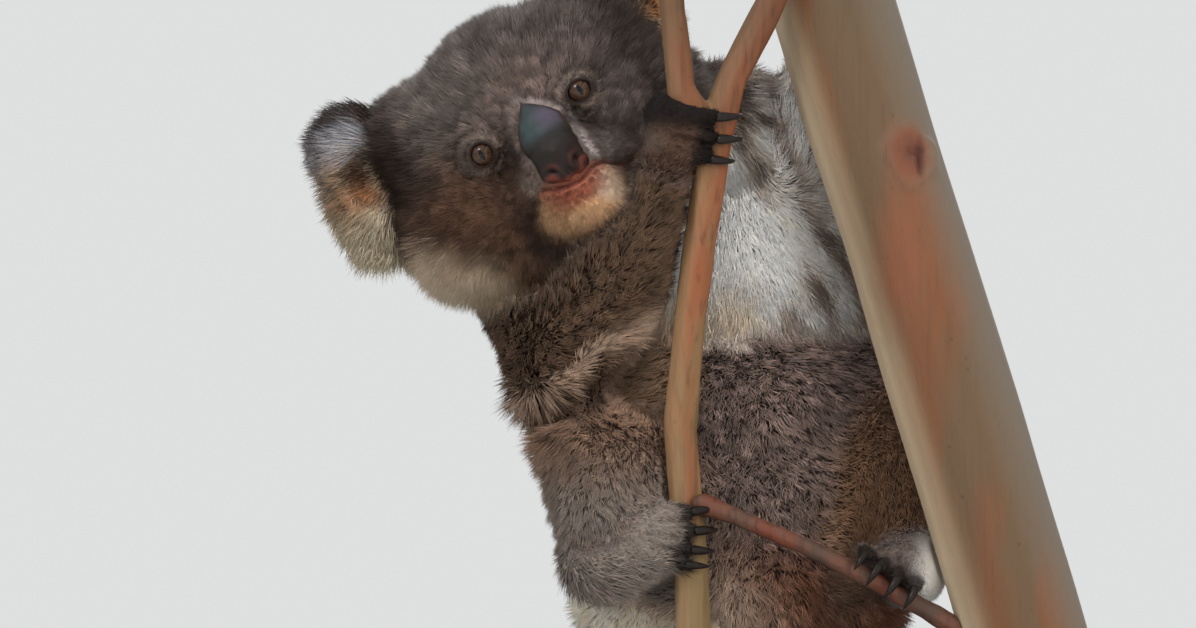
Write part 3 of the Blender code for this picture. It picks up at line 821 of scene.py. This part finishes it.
def set_markings(mesh, colour):
    """Writes colours on the corners of a mesh for its finish to read."""
    layer = mesh.color_attributes.new("markings", "FLOAT_COLOR", "POINT")
    layer.data.foreach_set("color", np.c_[colour, np.ones(len(colour))].astype(np.float32).ravel())


def unwrap(mesh):
    """Unwraps the skin's own shape into flat patches, and returns the place of each of its corners of faces."""
    block = placed(mesh, "unwrapping")
    bpy.ops.object.select_all(action="DESELECT")
    block.select_set(True)
    bpy.context.view_layer.objects.active = block
    bpy.ops.object.mode_set(mode="EDIT")
    bpy.ops.mesh.select_all(action="SELECT")
    bpy.ops.uv.smart_project(angle_limit=math.radians(70), island_margin=0.004)
    bpy.ops.object.mode_set(mode="OBJECT")
    bpy.data.objects.remove(block)
    return read(mesh.uv_layers.active.uv, "vector", 2)


skin_hide = furry("hide", 0.85, 900.0, 1500.0, 0.0006)
paleness = ease(0.12, 0.45, coat_colour.mean(1))
set_markings(skin_mesh, coat_colour * np.maximum(0.5 + 0.35 * paleness, 0.8 * held(paw))[:, None])
skin_flat = unwrap(skin_mesh)
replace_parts(piece_of(skin_mesh, "koala_skin", skin_hide), *HIDE_DEPTH)

# ---------------------------------------------------------------- eyes
# Two glass eyes, blown and painted from behind: a small brown iris with a dark
# upright pupil, and a clear front that bulges a little. They sit deep in the lids.

IRIS_EDGE = 0.70
IRIS_FLAT = (1, 1, 0)
PUPIL_EDGE = 0.30
PUPIL_SLIT = (2.1, 0.85, 0)
CORNEA_BULGE = 0.0007

for side, _ in SIDES:
    gaze = Vector(eye_gaze[side])
    centre = Vector(eye_centres[side])
    ball = bmesh.new()
    bmesh.ops.create_uvsphere(ball, u_segments=48, v_segments=32, radius=EYE_RADIUS)
    for v in ball.verts:
        bulged = float(ease(math.cos(0.75), math.cos(0.25), v.co.normalized().z))
        v.co *= 1 + CORNEA_BULGE / EYE_RADIUS * bulged
    head_up = Vector(head_axes[:, 2])
    upright = (head_up - gaze * gaze.dot(head_up)).normalized()
    turn = Matrix((upright.cross(gaze), upright, gaze)).transposed().to_quaternion()
    bmesh.ops.transform(ball, matrix=Matrix.Translation(centre) @ turn.to_matrix().to_4x4(), verts=ball.verts)
    glass = finish(
        "glass_eye_" + side, (0.02, 0.012, 0.008), 0.3,
        Specular_IOR_Level=0.02, Coat_Weight=1.0, Coat_Roughness=0.04, Coat_IOR=1.38,
    )
    tree = glass.node_tree
    place = node(tree, "TexCoord").outputs["Object"]
    sockets = {"Vector": place, "Location": centre, "Rotation": turn.to_euler(), "Scale": (EYE_RADIUS,) * 3}
    seated = node(tree, "Mapping", sockets, vector_type="TEXTURE").outputs[0]
    flat = vector_node(tree, "MULTIPLY", seated, IRIS_FLAT)
    fibres = cloud(tree, vector_node(tree, "NORMALIZE", flat), 9.0, 4.0)
    iris = ramp(tree, fibres, (0.3, tone(34, 21, 15)), (0.5, tone(56, 38, 27)), (0.72, tone(84, 62, 47)))
    slit = vector_node(tree, "LENGTH", vector_node(tree, "MULTIPLY", seated, PUPIL_SLIT), out="Value")
    pupil = ramp(tree, slit, (PUPIL_EDGE - 0.02, 0.0), (PUPIL_EDGE + 0.04, 1.0))
    iris = mixed(tree, 1.0, iris, pupil, way="MULTIPLY")
    far = vector_node(tree, "LENGTH", flat, out="Value")
    rings = ramp(tree, far, (IRIS_EDGE - 0.12, 1.0), (IRIS_EDGE, 0.1))
    feed(glass, mixed(tree, 1.0, iris, rings, way="MULTIPLY"))
    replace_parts(piece_from(ball, "glass_eye_" + side, glass), "eye_" + side)

# ---------------------------------------------------------------- nose leather
# The bare nose pad is a shield of thick pebbled leather with a damp sheen, slate
# above where a painted reflection of the sky lies on it, darker below with painted shade,
# and flushed pink round the two comma shaped nostrils low on its sides, which are
# painted near black as painted shade.

NOSTRIL = (7.7, -34.0)
NOSE_MIDDLE = 3.0
NOSTRIL_DEPTH = 0.0030
CLEFT_DEPTH = 0.0007
WING_HEIGHT = 0.0006

nose_mesh = remeshed(merged_copy("nose", 0.0014), "nose", 0.0009, 26)
nose_points = read(nose_mesh.vertices, "co")
nose_place = to_head(nose_points)
nose_x, _, nose_z = nose_place.T
levels = np.arange(nose_z.min() + 1, nose_z.max() - 0.5, 1.5)
bands = [nose_x[np.abs(nose_z - level) < 1.2] for level in levels]
was_left = np.interp(nose_z, levels, [band.min() for band in bands])
was_right = np.interp(nose_z, levels, [band.max() for band in bands])
drawn_left = np.interp(nose_z, *zip(*PAD_LEFT))
drawn_right = np.interp(nose_z, *zip(*PAD_RIGHT))
share = held((nose_x - was_left) / (was_right - was_left))
drawn = drawn_left + share * (drawn_right - drawn_left) - nose_x
drawn = blurred(drawn, read(nose_mesh.edges, "vertices", 2, int), 4)
nose_points += drawn[:, None] / 1000 * head_axes[:, 0]
put_points(nose_mesh, nose_points)
nose_normals = read(nose_mesh.vertex_normals, "vector")
nose_x, _, nose_z = to_head(nose_points).T
across = nose_x - NOSE_MIDDLE
nostril = np.zeros(len(nose_points))
wing = np.zeros(len(nose_points))
for sign in (-1, 1):
    aside = (nose_x - NOSE_MIDDLE - NOSTRIL[0] * sign) * sign
    above = nose_z - NOSTRIL[1]
    along = aside * 0.85 + above * 0.53
    cross = -aside * 0.53 + above * 0.85 + 0.10 * along**2
    nostril += np.exp(-((along / 3.3) ** 2 + (cross / 1.3) ** 2))
    wing += 0.3 * np.exp(-((along / 5.0) ** 2 + ((cross - 3.2) / 1.4) ** 2))
    wing += np.exp(-((along / 5.0) ** 2 + ((cross + 3.4) / 1.7) ** 2))
front = ease(0.1, -0.3, nose_normals @ head_axes[:, 1])
cleft = bell(across, 0.8) * ease(-32, -39, nose_z)
worked = nostril * NOSTRIL_DEPTH + cleft * CLEFT_DEPTH - held(wing) * WING_HEIGHT
nose_points = nose_points - nose_normals * (worked * front)[:, None]
put_points(nose_mesh, nose_points)
nose_place = to_head(nose_points)
nose_x, _, nose_z = nose_place.T
painted_shade_low = ease(-10, -20, nose_z)
to_rim = np.minimum(nose_x - drawn_left, drawn_right - nose_x)
under_rim = held(wing + ease(-39, -43, nose_z)) * ease(-26, -33, nose_z)
nose_layers = (
    # The teal and lilac spots high on the pad are a painted reflection of the sky.
    ((50, 64, 64), spot(nose_place, (-2, -16, -6), (9, 24, 10), 0.7) * 0.9),
    ((72, 66, 79), spot(nose_place, (10, -16, -5), (8, 24, 7), 0.7) * 0.9),
    # The lower part of the pad is painted darker, painted shade.
    ((30, 26, 24), painted_shade_low),
    ((27, 15, 12), held(ease(0, 12, across) * 0.7 + 0.5) * ease(-20, -30, nose_z)),
    ((52, 37, 31), ease(2.6, 0.8, to_rim) * (1 - painted_shade_low) * 0.85),
    ((104, 50, 39), under_rim * (0.8 - 0.35 * ease(2, 10, across))),
    # The nostrils are painted near black, painted shade inside them.
    ((20, 8, 6), ease(0.3, 0.75, nostril)),
)
set_markings(nose_mesh, painted(len(nose_points), (42, 41, 43), nose_layers))
nose_leather = finish("nose_leather", tone(36, 40, 40), 0.46, Specular_IOR_Level=0.2)
add_grain(nose_leather, (1, 1, 1), 1300.0, 0.45, 0.0005)
feed(nose_leather, node(nose_leather.node_tree, "Attribute", attribute_name="markings").outputs["Color"])
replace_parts(piece_of(nose_mesh, "nose_pad", nose_leather), "nose")

# ---------------------------------------------------------------- claws
# Long curved claws of dark horn, each seated in the end of its toe. They are cast
# in black resin, polished, with fine streaks along them.

CLAW_SUNK = 0.0026
CLAW_LET_OUT = 0.0002
CLAW_ROOT_FULLER = 0.0009

horn = finish("dark_horn", tone(30, 24, 21), 0.36, Specular_IOR_Level=0.25)
mask, _ = add_grain(horn, (1, 1, 0.2), 1500.0, 0.15, 0.0003)
feed(horn, ramp(horn.node_tree, mask, (0.35, tone(16, 13, 11)), (0.7, tone(36, 28, 23))))
for name in claw_names:
    claw_shell = merged_copy(name)
    corners = np.array([v.co for v in claw_shell.verts])
    away = lengths(corners - middle(name[5:-2]))
    at_root = 1 - ease(0.2, 0.9, (away - away.min()) / (away.max() - away.min()))
    sunk = Vector(unit(corners[away.argmin()] - corners[away.argmax()]) * CLAW_SUNK)
    for v, rooted in zip(claw_shell.verts, at_root):
        v.co += v.normal * (CLAW_LET_OUT + CLAW_ROOT_FULLER * rooted) + sunk * rooted
    claw = piece_from(claw_shell, "horn_" + name, horn)
    rounder = claw.modifiers.new("rounder", "SUBSURF")
    rounder.levels = 2
    rounder.render_levels = 2
    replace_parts(claw, name)

# ---------------------------------------------------------------- coat
# The hair is real mesh: thin pointed locks, closed all round, rooted in the hide and
# lying along the body the way a koala's woolly coat does. It is short on the face and
# paws, thick on the body, and longest in the pale fringes of the ears.

LIMB_LINES = {
    "arm_right": ((-84, 6, 350), (-94, -58, 277), (-45, -89, 357), (-31, -101, 389)),
    "hand_right": ((-45, -89, 357), (-31, -101, 389), (-8, -104, 394)),
    "arm_left": ((44, 18, 386), (66, 64, 470), (49, 18, 547), (40, -1, 573)),
    "hand_left": ((49, 18, 547), (40, -1, 573), (20, -40, 585)),
    "leg_right": ((-20, 6, 164), (-79, -54, 219), (-72, -60, 178)),
    "foot_right": ((-72, -60, 178), (-52, -71, 167), (-30, -80, 174)),
    "leg_left": ((52, 12, 162), (104, -6, 238), (103, -28, 178)),
    "foot_left": ((103, -28, 178), (100, -54, 156), (88, -82, 150)),
}
DOWN = np.array((0.0, 0.0, -1.0))
PERCH_REACH = 0.014
HARD_REACH = 0.006
PATCH = 0.003
ROOT_DEPTH = 0.0009
TUFT_REACH = 0.005
DEEPEST_TO_PALEST = ((0, 0.25, 0.6, 0.85, 1), (-0.62, -0.35, 0.0, 0.55, 1.25))
chance = np.random.default_rng(20)


def along_line(line):
    """The direction of a limb's line at the places of the skin nearest to it."""
    line = np.array(line, float) / 1000
    total = np.zeros_like(skin_points)
    for start, end in zip(line, line[1:]):
        span = end - start
        share = held((skin_points - start) @ span / (span @ span))
        gap = lengths(skin_points - start - share[:, None] * span)
        total += bell(gap, 0.022)[:, None] * unit(span)
    return unit(total + 1e-6 * DOWN)


def lie_of_coat():
    """The way the hair lies at each corner of the skin, along its surface."""
    from_tip = unit((face_place - np.array((0, -42, -24))) @ head_axes.T)
    hang = ease(-10, -60, face_z)[:, None]
    total = head[:, None] * (from_tip + 0.55 * hang * DOWN + 0.12 * DOWN)
    for side, sign in SIDES:
        outward = unit((face_place - np.array((66 * sign, 50, 22))) @ head_axes.T)
        low = ease(26, -8, face_z)[:, None]
        total += part["ear_" + side][:, None] * (outward + (0.25 + 0.6 * low) * DOWN)
    total += neck[:, None] * (DOWN + np.array((0.1, 0.25, 0)))
    swept = (ease(280, 340, z_mm) * ease(0, 50, x_mm))[:, None] * np.array((0.55, -0.1, 0.1))
    total += trunk[:, None] * (DOWN + swept)
    total += tail[:, None] * (DOWN + np.array((0, 0.6, 0)))
    for name, line in LIMB_LINES.items():
        pull = 0.15 if name.startswith(("hand", "foot")) else 0.35
        total += part[name][:, None] * (along_line(line) + pull * DOWN)
    for _ in range(3):
        total -= skin_normals * np.sum(total * skin_normals, axis=1)[:, None]
        total = unit(blurred(total, skin_edges, 5))
    total -= skin_normals * np.sum(total * skin_normals, axis=1)[:, None]
    return unit(total)


def room_beside(shells, reach):
    """How far each corner of the skin is outside some shells, up to a reach, and below 0 inside them."""
    gap = np.full(len(skin_points), reach)
    for shell in shells:
        surface = BVHTree.FromBMesh(shell)
        corners = np.array([v.co for v in shell.verts])
        shell.free()
        near = (skin_points > corners.min(0) - reach) & (skin_points < corners.max(0) + reach)
        for corner in np.nonzero(near.all(axis=1))[0]:
            place, outward, _, far = surface.find_nearest(skin_points[corner], reach)
            if place is not None:
                inside = (Vector(skin_points[corner]) - place).dot(outward) < 0
                gap[corner] = min(gap[corner], -far if inside else far)
    return gap


def by_part(*values):
    """A value for each corner of the skin, from one for the head and so on down to one for the feet."""
    return sum(share * value for share, value in zip((head, ear, neck, trunk, tail, arm, leg, hand, foot), values))


def shaggy(values, value):
    """Values mixed towards the flank's own where it is shaggy."""
    return values * (1 - shag) + value * shag


beside_perch = room_beside([merged_copy("perch_" + name) for name in ("trunk", "stem", "branch")], PERCH_REACH)
beside_hard = room_beside([shell_of(nose_mesh), *(merged_copy(name) for name in claw_names)], HARD_REACH)
far_face = ease(24, 96, from_nose)
bright = coat_colour.mean(1)
chest_white = ease(0.3, 0.55, bright) * (trunk + neck) * (skin_points[:, 2] > 0.26)
shag = on_flank * (1 - held(chest_white))
woolly = trunk * ease(306, 280, z_mm) * (y_mm < 30) * (1 - shag)
jaw_fringe = head_spot((-78, 20, -40), (22, 50, 26), 0.6)

hair_length = by_part(3.8 + 9.5 * far_face, 17.0, 17.0, 14.0, 14.0, 12.0, 12.0, 4.6, 6.0)
hair_length += 3.0 * ear + ear * ease(24, -6, face_z) * 8.0
hair_length *= 1 - 0.5 * part["ear_left"]
for sign in (-1, 1):
    hair_length += 5 * head * spot(face_place, (80 * sign, 20, 14), (16, 50, 36), 0.6)
hair_length += 5.0 * part["hand_right"] * ease(0.386, 0.37, skin_points[:, 2])
hair_length *= 1 - 0.55 * (1 - ease(0.0010, 0.0075, past_rim))
hair_length *= 0.3 + 0.7 * ease(0.0, 0.012, beside_perch)
hair_length *= 0.55 + 0.45 * ease(0.0, 0.005, beside_hard)
hair_length = shaggy(hair_length * (1 + 0.25 * chest_white), 21)
hair_length += 9 * body_spot(limb, (-100, -40, 244), (30, 60, 20), 0.6)
hair_length += 7 * jaw_fringe
hair_length += 7 * (beside_line(x_mm, z_mm, ELBOW_LINE, 8) * arm * front_half)
hair_length += 9 * (part["foot_right"] * ease(168, 150, z_mm))
hair_width = by_part(0.46 + 0.36 * far_face, 0.72, 1.05, 1.1, 1.0, 1.0, 1.0, 0.6, 0.72) * (1 + 0.4 * chest_white)
lift_root = by_part(50.0, 38.0, 46.0, 58.0, 50.0, 52.0, 54.0, 38.0, 40.0) * (1 - 0.35 * chest_white)
lift_root = shaggy(lift_root, 40)
lift_tip = by_part(24.0, 6.0, 16.0, 32.0, 16.0, 26.0, 28.0, 15.0, 20.0) * (1 - 0.6 * chest_white)
lift_tip = shaggy(lift_tip, 12) + 16 * woolly
crowd = by_part(2.7 - 1.6 * far_face, 1.3, 1.0, 1.0, 1.0, 1.1, 1.1, 1.8, 1.6)
crowd *= 1 + 0.35 * held(-skin_normals[:, 1]) - 0.3 * held(skin_normals[:, 1])
crowd *= ease(0.0006, 0.0016, past_rim) * ease(0.0003, 0.0012, beside_hard)
crowd *= ease(0.0008, 0.003, beside_perch)
crowd *= 1 - 0.9 * held(mouth_line * 1.5)
unruly = by_part(0.34, 0.22, 0.5, 0.62, 0.4, 0.66, 0.6, 0.45, 0.5) * (1 - 0.5 * chest_white)
unruly = shaggy(unruly, 0.3) + 0.6 * woolly + 0.25 * jaw_fringe
pepper = by_part(1.3, 0.75, 0.9, 1.0, 0.6, 1.05, 0.9, 1.5, 1.1) * (1 - 0.75 * ease(0.16, 0.4, bright))
pepper = shaggy(pepper, 0.8) + 0.35 * woolly
coat_lie = lie_of_coat()

skin_mesh.calc_loop_triangles()
tri_corners = read(skin_mesh.loop_triangles, "vertices", 3, int)
tri_loops = read(skin_mesh.loop_triangles, "loops", 3, int)
tri_area = read(skin_mesh.loop_triangles, "area", 1)[:, 0]


def lock_faces(rings):
    """The triangles of one closed three sided lock with some rings below its tip."""
    faces = [(2, 1, 0)]
    for ring in range(rings - 1):
        for side in range(3):
            a, b = ring * 3 + side, ring * 3 + (side + 1) % 3
            faces += [(a, b, b + 3), (a, b + 3, a + 3)]
    last = (rings - 1) * 3
    faces += [(last + side, last + (side + 1) % 3, last + 3) for side in range(3)]
    return np.array(faces)


def gathered(line, root, steps, clump_size, gather):
    """Draws the tips of neighbouring locks towards a leader among them, and returns each lock's leader too."""
    leaders = chance.choice(len(root), size=max(len(root) // clump_size, 1), replace=False)
    nearest = KDTree(len(leaders))
    for index, leader in enumerate(leaders):
        nearest.insert(root[leader], index)
    nearest.balance()
    led_by = leaders[np.array([nearest.find(place)[1] for place in root])]
    close = bell(lengths(root - root[led_by]), TUFT_REACH)
    pull = (gather * close)[:, None, None] * (steps**1.6)[None, :, None]
    return line + (line[led_by] - line) * pull, led_by


def grow(name, where, count, rings=1, clump_size=14, gather=0.42):
    """One piece of the coat: locks rooted where a mask of the skin says, gathered into small tufts."""
    share = tri_area * crowd[tri_corners].mean(1) * (where[tri_corners].mean(1) > 0.5)
    picked = chance.choice(len(tri_area), size=count, p=share / share.sum())
    spread = np.sqrt(chance.random(count))
    slide = chance.random(count)
    shares = np.stack((1 - spread, spread * (1 - slide), spread * slide), axis=1)

    def at_roots(values):
        """Values from the skin's corners at the roots of the locks."""
        return np.einsum("ij,ij...->i...", shares, values[tri_corners[picked]])

    root = at_roots(skin_points)
    out = unit(at_roots(skin_normals))
    lie = at_roots(coat_lie)
    lie = unit(lie - out * np.sum(lie * out, axis=1)[:, None])
    aside = np.cross(out, lie)
    wander = chance.normal(0, 1, count) * at_roots(unruly)
    lie = unit(lie + aside * wander[:, None])
    length = at_roots(hair_length) / 1000 * chance.uniform(0.7, 1.25, count)
    width = at_roots(hair_width) / 1000 * chance.uniform(0.75, 1.2, count)
    steep = np.radians(at_roots(lift_root) + chance.normal(0, 8, count))
    flat = np.radians(at_roots(lift_tip) + chance.normal(0, 9, count))
    steps = np.linspace(0, 1, rings + 1)
    line = np.empty((count, rings + 1, 3))
    line[:, 0] = root - out * ROOT_DEPTH
    curl = aside * chance.normal(0, 0.16, count)[:, None]
    for step in range(1, rings + 1):
        angle = steep + (flat - steep) * (step - 0.5) / rings
        heading = lie * np.cos(angle)[:, None] + out * np.sin(angle)[:, None] + curl * (step / rings)
        line[:, step] = line[:, step - 1] + unit(heading) * (length / rings)[:, None]
    line, led_by = gathered(line, root, steps, clump_size, gather)
    heading = unit(np.gradient(line, axis=1))
    across = unit(np.cross(out[:, None, :], heading))
    above = np.cross(heading, across)
    taper = np.interp(steps[:-1], (0, 0.45, 1), (1.0, 1.0, 0.3))
    corner_count = rings * 3 + 1
    corners = np.empty((count, corner_count, 3))
    for ring in range(rings):
        half = (width * 0.5 * taper[ring])[:, None]
        for side in range(3):
            turn = math.radians(90 + 120 * side)
            edge = across[:, ring] * math.cos(turn) + above[:, ring] * 0.7 * math.sin(turn)
            corners[:, ring * 3 + side] = line[:, ring] + half * edge
    corners[:, -1] = line[:, -1]

    base = at_roots(coat_colour)
    kind = chance.random(count)
    kind = 0.5 * kind + 0.5 * chance.random(count)[led_by]
    light = np.interp(kind, *DEEPEST_TO_PALEST) * at_roots(pepper)
    shade = np.clip(1 + light, 0.2, 2.6) * chance.uniform(0.88, 1.12, count)
    warm = 1 + np.outer(chance.normal(0, 0.05, count), (1.0, 0.1, -0.9))
    tip_colour = base * shade[:, None] * warm
    root_colour = base * (0.32 + 0.56 * ease(0.14, 0.5, base.mean(1)))[:, None] * warm
    colours = np.empty((count, corner_count, 3))
    for ring in range(rings):
        rise = min(1.0, ring / rings * 1.15)
        colours[:, ring * 3 : ring * 3 + 3] = (root_colour * (1 - rise) + tip_colour * rise)[:, None]
    colours[:, -1] = tip_colour * 1.3

    pattern = lock_faces(rings)
    faces = (pattern[None] + np.arange(count)[:, None, None] * corner_count).reshape(-1, 3)
    mesh = bpy.data.meshes.new(name)
    mesh.vertices.add(count * corner_count)
    mesh.vertices.foreach_set("co", corners.ravel())
    mesh.loops.add(faces.size)
    mesh.loops.foreach_set("vertex_index", faces.ravel())
    mesh.polygons.add(len(faces))
    mesh.polygons.foreach_set("loop_start", np.arange(0, faces.size, 3))
    mesh.update(calc_edges=True)
    set_markings(mesh, np.clip(colours, 0, 0.95).reshape(-1, 3))
    spots = ((side, ring / rings) for ring in range(rings) for side in range(3))
    patch = [(side / 2 - 0.5, rise - 0.5 - 0.3 * (side == 1)) for side, rise in spots]
    flat_root = np.einsum("ij,ijk->ik", shares, skin_flat[tri_loops[picked]])
    flat_place = flat_root[:, None, None] + np.array(patch + [(0.0, 0.5)])[pattern][None] * PATCH
    layer = mesh.uv_layers.new(name="OFBake")
    layer.uv.foreach_set("vector", flat_place.astype(np.float32).ravel())
    piece_of(mesh, name, coat_hair)


coat_hair = furry("coat_hair", 0.62, 260.0, 2400.0, 0.0002)
on_head = head > 0.5
on_body = (trunk + neck) > 0.5
in_front = y_mm < 30
before_ears = on_head & (face_y < 48)
grow("coat_muzzle", on_head & (from_nose < 48), 42000, clump_size=90, gather=0.4)
grow("coat_face", before_ears & (from_nose >= 48) & (from_nose < 78), 44000, clump_size=90, gather=0.45)
grow("coat_cheeks", before_ears & (from_nose >= 78), 40000, clump_size=60, gather=0.5)
grow("coat_nape", on_head & (face_y >= 48), 17000)
grow("coat_ear_right", part["ear_right"] > 0.5, 15000, 2, gather=0.5)
grow("coat_ear_left", part["ear_left"] > 0.5, 4000, 2, gather=0.5)
grow("coat_chest", on_body & in_front & (z_mm > 285), 24000, clump_size=24)
grow("coat_belly", on_body & in_front & (z_mm <= 285), 34000, clump_size=24, gather=0.6)
grow("coat_back", (on_body & ~in_front) | (tail > 0.5), 24000)
grow("coat_arm_right", part["arm_right"] > 0.5, 34000, clump_size=26, gather=0.6)
grow("coat_arm_left", part["arm_left"] > 0.5, 16000)
grow("coat_leg_right", part["leg_right"] > 0.5, 23000, clump_size=26, gather=0.6)
grow("coat_leg_left", part["leg_left"] > 0.5, 13000)
grow("coat_paws", paw > 0.5, 18000, gather=0.25)

# ---------------------------------------------------------------- floor, light and camera
# A plain pale studio floor, with soft panels above, in front and at one side, and a
# camera a little below the head that looks slightly up at it.

CAMERA_AIM = Vector((-0.0733, -0.060, 0.2978))
CAMERA_DISTANCE = 2.2
CAMERA_RISE = math.radians(5)
SENSOR_WIDTH = 36
VIEW_WIDTH = 1196 / 1800

floor_shell = bmesh.new()
bmesh.ops.create_circle(floor_shell, cap_ends=True, segments=96, radius=6.0)
floor = placed(mesh_of(floor_shell, "floor"), "floor")
floor_paint = finish("pale_floor", (0.62, 0.61, 0.59), 0.8)
add_grain(floor_paint, (1, 1, 1), 60.0, 0.05, 0.001)
floor.data.materials.append(floor_paint)


def soft_panel(name, place, size, power, colour=(1, 1, 1), mirrored=True):
    """A square soft light that faces the model."""
    panel = bpy.data.lights.new(name, "AREA")
    panel.size = size
    panel.energy = power
    panel.color = colour
    lamp = placed(panel, name)
    lamp.location = place
    lamp.visible_glossy = mirrored
    lamp.rotation_euler = (CAMERA_AIM - Vector(place)).to_track_quat("-Z", "Y").to_euler()


soft_panel("key_panel", (-1.3, -2.1, 2.1), 0.9, 31)
soft_panel("fill_panel", (1.5, -2.2, 0.7), 1.8, 50, (1.0, 0.98, 0.95), mirrored=False)
soft_panel("low_panel", (-0.2, -2.5, 0.15), 1.6, 23, (1.0, 0.98, 0.96), mirrored=False)
soft_panel("back_panel", (0.5, 2.2, 2.0), 1.6, 40, (0.95, 0.98, 1.0))
world = bpy.data.worlds.new("pale_room")
world.use_nodes = True
sky = world.node_tree.nodes["Background"].inputs
sky["Color"].default_value = (0.92, 0.93, 0.93, 1)
sky["Strength"].default_value = 0.8
bpy.context.scene.world = world

lens = bpy.data.cameras.new("camera")
lens.sensor_width = SENSOR_WIDTH
lens.lens = SENSOR_WIDTH * CAMERA_DISTANCE / VIEW_WIDTH
camera = placed(lens, "camera")
heading = Vector((0, math.cos(CAMERA_RISE), math.sin(CAMERA_RISE)))
camera.location = CAMERA_AIM - heading * CAMERA_DISTANCE
camera.rotation_euler = heading.to_track_quat("-Z", "Y").to_euler()
bpy.context.scene.camera = camera
bpy.context.scene.view_settings.view_transform = "Standard"
